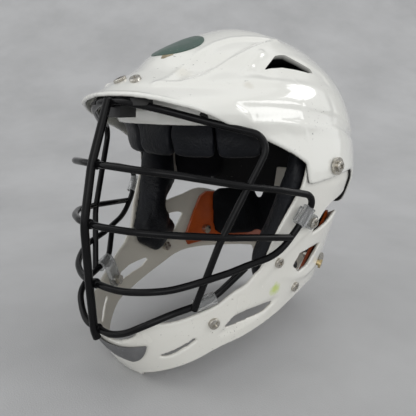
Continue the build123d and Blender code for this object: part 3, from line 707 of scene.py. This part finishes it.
def wrinkle(piece, look):
    # Soft creases that run across the cushion's face
    places, normal = coordinates(piece), vertexNormals(piece)
    stretched = places * look["wrinkleScale"] * wrinkleLook["stretch"]
    depth = np.array([noise.noise(Vector(place)) for place in stretched])
    ridge = 1 - np.abs(depth)[:, None] * wrinkleLook["sharpness"]
    lift = ridge * freeShare(places, normal) * look["wrinkle"] * milli
    moveTo(piece, places + normal * lift * wrinkleLook["height"])


def makePads():
    made = []
    for node, look in padLook.items():
        for piece in separateParts(copyNode(node, look["name"]), look["name"]):
            remesh(piece, look["voxel"], padSmoothing)
            made.append((piece, node, look))
    for piece, node, look in made:
        addCloth(piece)
    for step in range(1, clothFrames + 1):
        bpy.context.scene.frame_set(step)
    for piece, node, look in made:
        settle(piece, look)
    bpy.context.scene.frame_set(1)
    for piece, node, look in made:
        finer = piece.modifiers.new("finer", "SUBSURF")
        finer.levels = finer.render_levels = 1
        applyModifiers(piece)
        wrinkle(piece, look)
        dragToDome(piece)
        smoothShade(piece)
        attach(piece, look["body"])
        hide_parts(node)
    return made


pads = makePads()
print("pads made:", len(pads))

# Decal on the brow's slope, a scrap of old tape under it, and the fittings that follow the dome
patchLook = {
    "decal": {"level": 244.5, "lift": 0.15, "thick": 0.5, "radius": 21.0},
    "tape": {"level": 244.5, "lift": 0.10, "thick": 0.25,
             "outline": [(3.0, -18.5), (11.5, -15.5), (12.5, -18.5), (8.0, -24.0), (5.5, -24.5),
                         (4.5, -22.0)]},
    "rings": 14, "steps": 96, "reach": 14.0, "shadeAngle": 50,
}


def domeTest(points):
    # Above 0 outside the photograph's dome, under 0 inside
    x, y, level = (points - domeShift(points)).T
    level = np.minimum(level, helmet["top"] - domeLimits["poleGap"])
    halfWidth, widest, frontY, _, power, _ = ringSizes(level, 0)
    share = np.maximum(1 - (np.abs(x) / halfWidth) ** power, 0) ** (1 / power)
    return frontY - y + (widest - frontY) * (1 - share)


def makePatch(name, look):
    # Thin sheet laid on the dome's front, round or with an outline of (across, up the slope)
    start = ringPoints(np.array([look["level"], look["level"] + 1.0]), 0, np.radians([-90.0, -90.0]))
    up = (start[1] - start[0]) / np.linalg.norm(start[1] - start[0])
    out = np.cross((1, 0, 0), up)
    count, rings, reach = (patchLook[key] for key in ("steps", "rings", "reach"))
    if "radius" in look:
        turn = 2 * np.pi * np.arange(count) / count
        edge = look["radius"] * np.stack([np.cos(turn), np.sin(turn)], 1)
    else:
        corners = np.array(look["outline"] + look["outline"][:1])
        share = np.linspace(0, len(corners) - 1, count, endpoint=False)
        edge = np.stack([np.interp(share, np.arange(len(corners)), corners[:, k]) for k in (0, 1)], 1)
    middle = edge.mean(0)
    flat = np.vstack([middle + (edge - middle) * (ring + 1) / rings for ring in range(rings)] + [middle])
    origin = start[0] + flat[:, :1] * np.array([[1.0, 0, 0]]) + flat[:, 1:] * up
    low, high = halve(lambda lift: domeTest(origin + lift[:, None] * out) < 0,
                      np.full(len(flat), -reach), np.full(len(flat), reach))
    laid = origin + ((low + high) / 2)[:, None] * out
    top, under = laid + out * (look["lift"] + look["thick"]), laid - out * look["thick"]
    total = len(flat)
    faces = []
    for k in range(count):
        n = (k + 1) % count
        for ring in range(rings - 1):
            a, b = ring * count + k, ring * count + n
            c, d = b + count, a + count
            faces += [[a, d, c, b], [total + a, total + b, total + c, total + d]]
        faces += [[total - 1, k, n], [2 * total - 1, total + n, total + k]]
        last = (rings - 1) * count
        faces.append([last + k, total + last + k, total + last + n, last + n])
    obj = faceOut(meshObject(name, toRow(np.vstack([top, under])), faces))
    smoothShade(obj, patchLook["shadeAngle"])
    return obj


def makeFollower(node, name):
    obj = copyNode(node, name)
    dragToDome(obj)
    smoothShade(obj, shellLook["shadeAngle"])
    return obj


decal, tape = makePatch("visorDecal", patchLook["decal"]), makePatch("tapeScrap", patchLook["tape"])
visorScrews, visorClip = makeFollower("visor_screws", "visorScrews"), makeFollower("visor_clip", "visorClip")
for obj, node, slotName in ((decal, "front_decal", "badge_green"),
                            (visorScrews, "visor_screws", "nickel_steel"),
                            (visorClip, "visor_clip", "black_clip_plastic")):
    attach(obj, "helmet")
    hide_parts(node)
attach(tape, "helmet")
print("decal, tape and visor fittings made")

# Welds where the face guard's wires cross, as (share of width, front reach, height)
weldLook = {
    "places": [(0, -0.853, 0.769), (0, -0.950, 0.613), (0, -1.003, 0.461), (0, -0.990, 0.295),
               (0, -0.993, 0.163)],
    "radius": 3.9, "stretch": (1.05, 0.85, 0.95), "wave": 0.08, "waveTurns": (2100, 1700),
}


def makeWelds():
    look = weldLook
    across, along, up = look["stretch"]
    first, second = look["waveTurns"]
    beads = []
    for index, (x, y, z) in enumerate(look["places"]):
        mesh = bmesh.new()
        bmesh.ops.create_icosphere(mesh, subdivisions=3, radius=look["radius"] * milli)
        for vert in mesh.verts:
            here = vert.co
            wave = 1 + look["wave"] * math.sin(here.x * first + index) * math.cos(here.z * second + index)
            vert.co = Vector((here.x * across * wave, here.y * along, here.z * up * wave))
        data = bpy.data.meshes.new("weld")
        mesh.to_mesh(data)
        mesh.free()
        bead = newObject("weld", data)
        bead.location = toRow((x * helmet["halfWidth"], y * helmet["frontReach"], z * helmet["viewHeight"]))
        beads.append(bead)
    welds = joinObjects(beads, "cageWelds")
    activate(welds)
    bpy.ops.object.transform_apply(location=True)
    smoothShade(welds)
    return welds


cageWelds = makeWelds()


# Shader groups that several finishes share
def newGroup(name, inputs, outputs):
    group = bpy.data.node_groups.new(name, "ShaderNodeTree")
    for socket, value in inputs.items():
        kind = "Float" if isinstance(value, float) else {3: "Vector", 4: "Color"}[len(value)]
        made = group.interface.new_socket(name=socket, in_out="INPUT", socket_type="NodeSocket" + kind)
        made.default_value = value
    for socket in outputs:
        kind = "Color" if socket == "Color" else "Float"
        group.interface.new_socket(name=socket, in_out="OUTPUT", socket_type="NodeSocket" + kind)
    return group, group.nodes.new("NodeGroupInput"), group.nodes.new("NodeGroupOutput")


def addNode(tree, kind, numbered=None, **values):
    # Values go to sockets, by number or by name with _ for a space, or else to the node's settings
    node = tree.nodes.new("ShaderNode" + kind)
    for key, value in values.items():
        socket = key.replace("_", " ")
        if socket in node.inputs:
            node.inputs[socket].default_value = value
        else:
            setattr(node, key, value)
    for index, value in (numbered or {}).items():
        node.inputs[index].default_value = value
    return node


def wire(tree, *rows):
    # Each row is a node, its output, another node and its input
    for first, output, second, socket in rows:
        tree.links.new(first.outputs[output], second.inputs[socket])


def mottleGroup():
    group, source, target = newGroup("colourMottle", {
        "Color A": (0.8, 0.8, 0.8, 1), "Color B": (0.7, 0.7, 0.7, 1), "Scale": 20.0}, ["Color", "Mask"])
    place = addNode(group, "TexCoord")
    cloud = addNode(group, "TexNoise", Detail=4.0, Roughness=0.6)
    ramp = addNode(group, "MapRange", From_Min=0.35, From_Max=0.65)
    mix = addNode(group, "Mix", data_type="RGBA")
    wire(group, (place, "Object", cloud, "Vector"), (source, "Scale", cloud, "Scale"),
         (cloud, "Fac", ramp, "Value"), (ramp, "Result", mix, "Factor"), (source, "Color A", mix, "A"),
         (source, "Color B", mix, "B"), (mix, "Result", target, "Color"), (ramp, "Result", target, "Mask"))
    return group


def scuffGroup():
    # Short thin scratches and specks: 1 where the finish is marked
    group, source, target = newGroup("scuffMarks", {"Scale": 60.0, "Amount": 0.3}, ["Mask"])
    place = addNode(group, "TexCoord")
    stretch = addNode(group, "Mapping", Scale=(1.0, 3.2, 5.0), Rotation=(0.5, 0.4, 0.9))
    marks = addNode(group, "TexNoise", Detail=6.0, Roughness=0.7)
    zones = addNode(group, "TexNoise", Scale=14.0, Detail=2.0)
    limit = addNode(group, "Math", {0: 0.92}, operation="SUBTRACT")
    thin = addNode(group, "Math", operation="GREATER_THAN")
    add = addNode(group, "Math", {1: 0.35}, operation="MULTIPLY_ADD")
    half = addNode(group, "Math", {1: 0.2}, operation="MULTIPLY")
    wire(group, (place, "Object", stretch, "Vector"), (place, "Object", zones, "Vector"),
         (stretch, "Vector", marks, "Vector"), (source, "Scale", marks, "Scale"),
         (source, "Amount", half, 0), (half, "Value", limit, 1), (zones, "Fac", add, 0),
         (marks, "Fac", add, 2), (add, "Value", thin, 0), (limit, "Value", thin, 1),
         (thin, "Value", target, "Mask"))
    return group


def grainGroup():
    group, source, target = newGroup("surfaceGrain", {"Scale": 900.0}, ["Height"])
    place = addNode(group, "TexCoord")
    fine = addNode(group, "TexNoise", Detail=3.0, Roughness=0.5)
    wire(group, (place, "Object", fine, "Vector"), (source, "Scale", fine, "Scale"),
         (fine, "Fac", target, "Height"))
    return group


def creaseGroup():
    # Creases of vinyl: fine leather cells over long folds, which the scale sets
    group, source, target = newGroup("vinylCreases", {"Scale": 45.0}, ["Height"])
    place = addNode(group, "TexCoord")
    cells = addNode(group, "TexVoronoi", feature="DISTANCE_TO_EDGE", Scale=420.0)
    folds = addNode(group, "TexNoise", Detail=2.0, Distortion=1.6)
    ridge = addNode(group, "Math", {1: 0.12}, operation="PINGPONG")
    mix = addNode(group, "Math", {1: 5.0}, operation="MULTIPLY_ADD")
    wire(group, (place, "Object", cells, "Vector"), (place, "Object", folds, "Vector"),
         (source, "Scale", folds, "Scale"), (folds, "Fac", ridge, 0), (ridge, "Value", mix, 0),
         (cells, "Distance", mix, 2), (mix, "Value", target, "Height"))
    return group


def weaveGroup():
    group, source, target = newGroup("clothWeave", {"Scale": 700.0}, ["Height"])
    place = addNode(group, "TexCoord")
    both = addNode(group, "Math", operation="MAXIMUM")
    for index, direction in enumerate("XZ"):
        wave = addNode(group, "TexWave", wave_type="BANDS", bands_direction=direction, Distortion=0.4)
        wire(group, (place, "Object", wave, "Vector"), (source, "Scale", wave, "Scale"),
             (wave, "Fac", both, index))
    wire(group, (both, "Value", target, "Height"))
    return group


def spotGroup():
    # 1 at a place on the object, fading out at a radius, with a ragged edge
    group, source, target = newGroup("stainSpot", {"Centre": (0, 0, 0), "Radius": 0.01}, ["Mask"])
    place = addNode(group, "TexCoord")
    away = addNode(group, "VectorMath", operation="DISTANCE")
    share = addNode(group, "Math", operation="DIVIDE")
    ragged = addNode(group, "TexNoise", Scale=260.0, Detail=4.0)
    join = addNode(group, "Math", {1: 0.9}, operation="MULTIPLY_ADD")
    fade = addNode(group, "MapRange", From_Min=1.45, From_Max=0.75)
    wire(group, (place, "Object", away, 0), (source, "Centre", away, 1), (away, "Value", share, 0),
         (source, "Radius", share, 1), (place, "Object", ragged, "Vector"), (ragged, "Fac", join, 0),
         (share, "Value", join, 2), (join, "Value", fade, "Value"), (fade, "Result", target, "Mask"))
    return group


mottle, scuffs, spot = mottleGroup(), scuffGroup(), spotGroup()
reliefs = {"grain": grainGroup(), "creases": creaseGroup(), "weave": weaveGroup()}


def mixTo(tree, factor, first, second):
    # Socket first where factor is 0, plain value or colour second where it is 1
    mix = addNode(tree, "Mix", data_type="FLOAT" if isinstance(second, float) else "RGBA")
    tree.links.new(factor, mix.inputs["Factor"])
    tree.links.new(first, mix.inputs["A"])
    mix.inputs["B"].default_value = second if isinstance(second, float) else (*second, 1)
    return mix.outputs["Result"]


def rangeOf(tree, value, low, high):
    node = addNode(tree, "MapRange", To_Min=low, To_Max=high)
    tree.links.new(value, node.inputs["Value"])
    return node.outputs["Result"]


def newFinish(name, look):
    # Mottled colour, the inner side's colour (a black liner on the shell, painted shade on the chin guard),
    # stains, scuffs and a fine relief over one Principled shader
    material = bpy.data.materials.new(name)
    material.use_nodes = True
    tree = material.node_tree
    shader = tree.nodes["Principled BSDF"]
    for key, value in look.get("constants", {}).items():
        shader.inputs[key].default_value = value
    first, second = look["colours"]
    patch = addNode(tree, "Group", node_tree=mottle, Color_A=(*first, 1), Color_B=(*second, 1),
                    Scale=look["mottle"])
    colour = patch.outputs["Color"]
    roughness = rangeOf(tree, patch.outputs["Mask"], *look["roughness"])
    # Inward faces take the inner colour: on the chin guard this is painted shade, a darker beige standing for
    # the shade inside the helmet
    if "inner" in look:
        inner = addNode(tree, "Attribute", attribute_name="innerSideLinerAndShade").outputs["Fac"]
        colour = mixTo(tree, inner, colour, look["inner"]["colour"])
        roughness = mixTo(tree, inner, roughness, look["inner"]["roughness"])
        tree.links.new(rangeOf(tree, inner, look["coat"], 0.0), shader.inputs["Coat Weight"])
    for stain in look.get("stains", []):
        mark = addNode(tree, "Group", node_tree=spot, Centre=tuple(toRow(stain["at"])),
                       Radius=stain["radius"] * milli)
        strength = rangeOf(tree, mark.outputs["Mask"], 0.0, stain["strength"])
        colour = mixTo(tree, strength, colour, stain["colour"])
    if "scuffs" in look:
        marks = addNode(tree, "Group", node_tree=scuffs, Scale=look["scuffs"]["scale"],
                        Amount=look["scuffs"]["amount"])
        colour = mixTo(tree, marks.outputs["Mask"], colour, look["scuffs"]["colour"])
    kind, scale, strength, distance = look["relief"]
    height = addNode(tree, "Group", node_tree=reliefs[kind], Scale=scale)
    bump = addNode(tree, "Bump", Strength=strength, Distance=distance)
    wire(tree, (height, "Height", bump, "Height"), (bump, "Normal", shader, "Normal"))
    tree.links.new(colour, shader.inputs["Base Color"])
    tree.links.new(roughness, shader.inputs["Roughness"])
    return material


# Each relief is (kind, scale, strength, distance)
finishes = {
    "shellWhite": {
        "colours": ((0.800, 0.797, 0.750), (0.770, 0.766, 0.715)), "mottle": 9.0, "roughness": (0.12, 0.18),
        "inner": {"colour": (0.008, 0.008, 0.009), "roughness": 0.85},
        "constants": {"Coat Roughness": 0.02, "IOR": 1.45}, "coat": 0.90,
        "scuffs": {"scale": 120.0, "amount": 0.25, "colour": (0.25, 0.24, 0.23)},
        "relief": ("grain", 260.0, 0.05, 0.0004),
        "stains": [
            {"at": (66, -66, 213), "radius": 5.0, "strength": 0.35, "colour": (0.52, 0.47, 0.36)},
            {"at": (30, -92, 222), "radius": 8.0, "strength": 0.25, "colour": (0.60, 0.55, 0.42)},
            {"at": (82, -60, 190), "radius": 2.6, "strength": 0.85, "colour": (0.10, 0.10, 0.10)},
            {"at": (99, 8, 183), "radius": 1.6, "strength": 0.8, "colour": (0.12, 0.12, 0.12)},
        ],
    },
    "jawWhite": {
        "colours": ((0.790, 0.780, 0.730), (0.750, 0.738, 0.680)), "mottle": 12.0, "roughness": (0.16, 0.28),
        # Inner colour: painted shade, the same white plastic darkened where the inside of the chin guard lies
        # in shade
        "inner": {"colour": (0.60, 0.57, 0.50), "roughness": 0.45},
        "constants": {"Coat Roughness": 0.05, "IOR": 1.5}, "coat": 0.35,
        "scuffs": {"scale": 120.0, "amount": 0.25, "colour": (0.30, 0.28, 0.25)},
        "relief": ("grain", 300.0, 0.06, 0.0004),
        "stains": [{"at": (79, -43.5, 62), "radius": 6.5, "strength": 0.8, "colour": (0.50, 0.62, 0.10)}],
    },
    "cageBlack": {
        "colours": ((0.004, 0.004, 0.0045), (0.007, 0.007, 0.0075)), "mottle": 60.0,
        "roughness": (0.08, 0.14), "constants": {"Specular IOR Level": 0.15},
        "scuffs": {"scale": 160.0, "amount": 0.12, "colour": (0.05, 0.05, 0.05)},
        "relief": ("grain", 700.0, 0.12, 0.0003),
    },
    "nickel": {
        "colours": ((0.62, 0.60, 0.55), (0.42, 0.39, 0.34)), "mottle": 260.0,
        "roughness": (0.18, 0.38), "constants": {"Metallic": 1.0},
        "relief": ("grain", 900.0, 0.1, 0.0002),
    },
    "brassStud": {
        "colours": ((0.74, 0.60, 0.34), (0.42, 0.32, 0.16)), "mottle": 220.0,
        "roughness": (0.2, 0.45), "constants": {"Metallic": 1.0},
        "relief": ("grain", 900.0, 0.1, 0.0002),
    },
    "vinyl": {
        "colours": ((0.004, 0.0045, 0.006), (0.008, 0.009, 0.012)), "mottle": 40.0,
        "roughness": (0.36, 0.50), "constants": {"Specular IOR Level": 0.2},
        "relief": ("creases", 38.0, 0.5, 0.0008),
    },
    "liner": {
        "colours": ((0.004, 0.004, 0.005), (0.008, 0.008, 0.010)), "mottle": 60.0,
        "roughness": (0.75, 0.9), "constants": {"Specular IOR Level": 0.12},
        "relief": ("weave", 330.0, 0.5, 0.0006),
    },
    "weave": {
        "colours": ((0.003, 0.0035, 0.0045), (0.007, 0.008, 0.010)), "mottle": 60.0,
        "roughness": (0.5, 0.7), "constants": {"Specular IOR Level": 0.12},
        "relief": ("weave", 260.0, 0.7, 0.0010),
    },
    "orangePlastic": {
        "colours": ((0.42, 0.070, 0.006), (0.33, 0.050, 0.004)), "mottle": 50.0,
        "roughness": (0.3, 0.45), "constants": {"Coat Weight": 0.2, "Coat Roughness": 0.2},
        "relief": ("grain", 500.0, 0.12, 0.0004),
    },
    "blackClip": {
        "colours": ((0.012, 0.012, 0.013), (0.022, 0.022, 0.023)), "mottle": 80.0, "roughness": (0.4, 0.55),
        "relief": ("grain", 800.0, 0.15, 0.0003),
    },
    "bumperRubber": {
        "colours": ((0.014, 0.014, 0.014), (0.028, 0.027, 0.026)), "mottle": 120.0, "roughness": (0.7, 0.85),
        "relief": ("grain", 700.0, 0.3, 0.0004),
    },
    "badgeGreen": {
        "colours": ((0.018, 0.055, 0.040), (0.030, 0.080, 0.058)), "mottle": 60.0,
        "roughness": (0.3, 0.5), "constants": {"Coat Weight": 0.3, "Coat Roughness": 0.15},
        "scuffs": {"scale": 150.0, "amount": 0.35, "colour": (0.25, 0.28, 0.25)},
        "relief": ("grain", 500.0, 0.1, 0.0003),
    },
    "tapePaper": {
        "colours": ((0.36, 0.31, 0.21), (0.24, 0.20, 0.13)), "mottle": 160.0, "roughness": (0.6, 0.8),
        "relief": ("grain", 700.0, 0.3, 0.0003),
    },
    "badgeGrey": {
        "colours": ((0.115, 0.116, 0.120), (0.155, 0.155, 0.158)), "mottle": 70.0, "roughness": (0.45, 0.6),
        "scuffs": {"scale": 150.0, "amount": 0.3, "colour": (0.3, 0.3, 0.3)},
        "relief": ("grain", 900.0, 0.2, 0.0003),
    },
    "clearPlastic": {
        "colours": ((0.80, 0.81, 0.81), (0.66, 0.67, 0.67)), "mottle": 60.0,
        "roughness": (0.14, 0.3), "constants": {"Transmission Weight": 0.85, "IOR": 1.45},
        "relief": ("grain", 500.0, 0.15, 0.0004),
    },
    "palePaper": {
        "colours": ((0.500, 0.501, 0.504), (0.42, 0.42084, 0.42336)), "mottle": 4.0,
        "roughness": (0.75, 0.75),
        "relief": ("grain", 900.0, 0.4, 0.0006),
    },
}
materials = {name: newFinish(name, look) for name, look in finishes.items()}
print("materials made:", len(materials))


def paint(obj, finish):
    obj.data.materials.clear()
    obj.data.materials.append(materials[finish])


insideShare = {"middle": 0.5, "sharpness": 3}


def markInside(obj):
    # 1 on faces that look at the head, 0 outside and, on the shell, in front of the brow wall. The mask
    # carries the shell's black liner colour and the chin guard's painted shade
    places = coordinates(obj)
    outward = places - np.array(headCentre)
    if obj.name == "jawGuard":
        outward[:, 2] = 0
    facing = (vertexNormals(obj) * outward).sum(1) / np.maximum(np.linalg.norm(outward, axis=1), tiny)
    inside = np.clip(insideShare["middle"] - facing * insideShare["sharpness"], 0, 1)
    if obj.name == "helmetShell":
        away = np.hypot(places[:, 0], places[:, 1] - toRow((0, browLook["centreY"], 0))[1]) / milli
        beyond = away > browLook["radius"] - browLook["wall"] / 2
        inside[beyond & (places[:, 1] < toRow((0, browLook["frontY"], 0))[1])] = 0
    attribute = obj.data.attributes.new("innerSideLinerAndShade", "FLOAT", "POINT")
    attribute.data.foreach_set("value", inside.astype(np.float32))


markInside(helmetShell)
markInside(jawGuard)
for obj, finish, node, slotName in ((helmetShell, "shellWhite", "shell", "shell_plastic"),
                                    (jawGuard, "jawWhite", "chin_guard", "guard_plastic")):
    paint(obj, finish)
    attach(obj, "helmet")
    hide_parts(node)
paint(cageWelds, "cageBlack")
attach(cageWelds, "helmet")
for piece, node, look in pads:
    paint(piece, look["material"])
for obj, finish in ((decal, "badgeGreen"), (tape, "tapePaper"), (visorScrews, "nickel"),
                    (visorClip, "blackClip")):
    paint(obj, finish)

nodeFinishes = {
    "chin_plate": "badgeGrey", "fit_cradle": "orangePlastic", "strap_studs": "brassStud",
    "visor_bumpers": "bumperRubber", "side_clips": "clearPlastic", "chin_clips": "clearPlastic",
}
nodeFinishes.update({"cage_" + part: "cageBlack"
                     for part in ("top_hoop", "side_hoop", "third_bar", "bottom_bar", "center_bar")})
nodeFinishes.update({node: "nickel" for node in ("shell_screws", "cup_washers", "clip_screws", "clip_nuts",
                                                 "jaw_screws", "jaw_nuts", "cradle_rivets")})
for node, finish in nodeFinishes.items():
    paint(nodes[node], finish)

# Floor and backdrop: one pale sweep, flat under the helmet and curved up behind it
stageLook = {"front": -2.2, "back": 2.3, "halfWidth": 3.5, "bend": 2.1, "height": 3.2, "steps": 40}


def makeStage():
    look = stageLook
    profile = [(look["front"], 0.0), (look["back"] - look["bend"], 0.0)]
    for step in range(1, look["steps"] + 1):
        angle = math.pi / 2 * step / look["steps"]
        profile.append((look["back"] - look["bend"] + look["bend"] * math.sin(angle),
                        look["bend"] - look["bend"] * math.cos(angle)))
    profile.append((look["back"], look["height"]))
    azimuth = math.radians(cameraLook["azimuth"])
    ahead = Vector((-math.sin(azimuth), math.cos(azimuth), 0))
    across = Vector((math.cos(azimuth), math.sin(azimuth), 0))
    verts = [ahead * y + across * side + Vector((0, 0, z))
             for y, z in profile for side in (-look["halfWidth"], look["halfWidth"])]
    faces = [[2 * k, 2 * k + 1, 2 * k + 3, 2 * k + 2] for k in range(len(profile) - 1)]
    floor = meshObject("paleSweep", verts, faces)
    smoothShade(floor)
    paint(floor, "palePaper")


# Camera at the photograph's viewing angle
cameraLook = {"azimuth": 42.19, "elevation": 13.22, "distance": 396.5, "target": (0.0, -33.3, 112.2),
              "lens": 38.94, "sensor": 36.0}


def makeCamera():
    look = cameraLook
    azimuth, elevation = math.radians(look["azimuth"]), math.radians(look["elevation"])
    ahead = Vector((-math.sin(azimuth) * math.cos(elevation), math.cos(azimuth) * math.cos(elevation),
                    -math.sin(elevation)))
    data = bpy.data.cameras.new("studioCamera")
    data.lens = look["lens"]
    data.sensor_width = look["sensor"]
    camera = newObject("studioCamera", data)
    camera.location = Vector(toRow(look["target"])) - ahead * look["distance"] * milli
    camera.rotation_euler = ahead.to_track_quat("-Z", "Y").to_euler()
    bpy.context.scene.camera = camera


lampLook = [
    {"name": "keyBox", "at": (-1.2, -1.3, 2.0), "size": (1.6, 1.6), "power": 8.0},
    {"name": "topBox", "at": (0.2, 0.3, 2.4), "size": (2.2, 2.2), "power": 5.0},
    {"name": "frontFill", "at": (1.3, -1.5, 0.9), "size": (1.6, 1.4), "power": 8.0},
    {"name": "firstWindow", "at": (0.97, 1.44, 1.55), "size": (0.56, 0.52), "power": 3.4},
    {"name": "secondWindow", "at": (1.72, 0.95, 1.20), "size": (0.55, 1.00), "power": 5.4},
]
lampAim = Vector((0, 0, 0.12))
worldLook = {"colour": (0.98, 0.99, 1.0, 1), "low": 1.00, "high": 0.48}


def makeLights():
    for look in lampLook:
        data = bpy.data.lights.new(look["name"], "AREA")
        data.shape = "RECTANGLE"
        data.size, data.size_y = look["size"]
        data.energy = look["power"]
        lamp = newObject(look["name"], data)
        lamp.location = look["at"]
        lamp.rotation_euler = (lampAim - lamp.location).to_track_quat("-Z", "Y").to_euler()
    world = bpy.data.worlds.new("studio")
    bpy.context.scene.world = world
    world.use_nodes = True
    tree = world.node_tree
    background = tree.nodes["Background"]
    background.inputs["Color"].default_value = worldLook["colour"]
    place, axes = addNode(tree, "TexCoord"), addNode(tree, "SeparateXYZ")
    wire(tree, (place, "Generated", axes, "Vector"))
    strength = rangeOf(tree, axes.outputs["Z"], worldLook["low"], worldLook["high"])
    tree.links.new(strength, background.inputs["Strength"])


makeCamera()
makeStage()
makeLights()
bpy.context.scene.view_settings.view_transform = "Standard"
print("camera, stage and lights made")
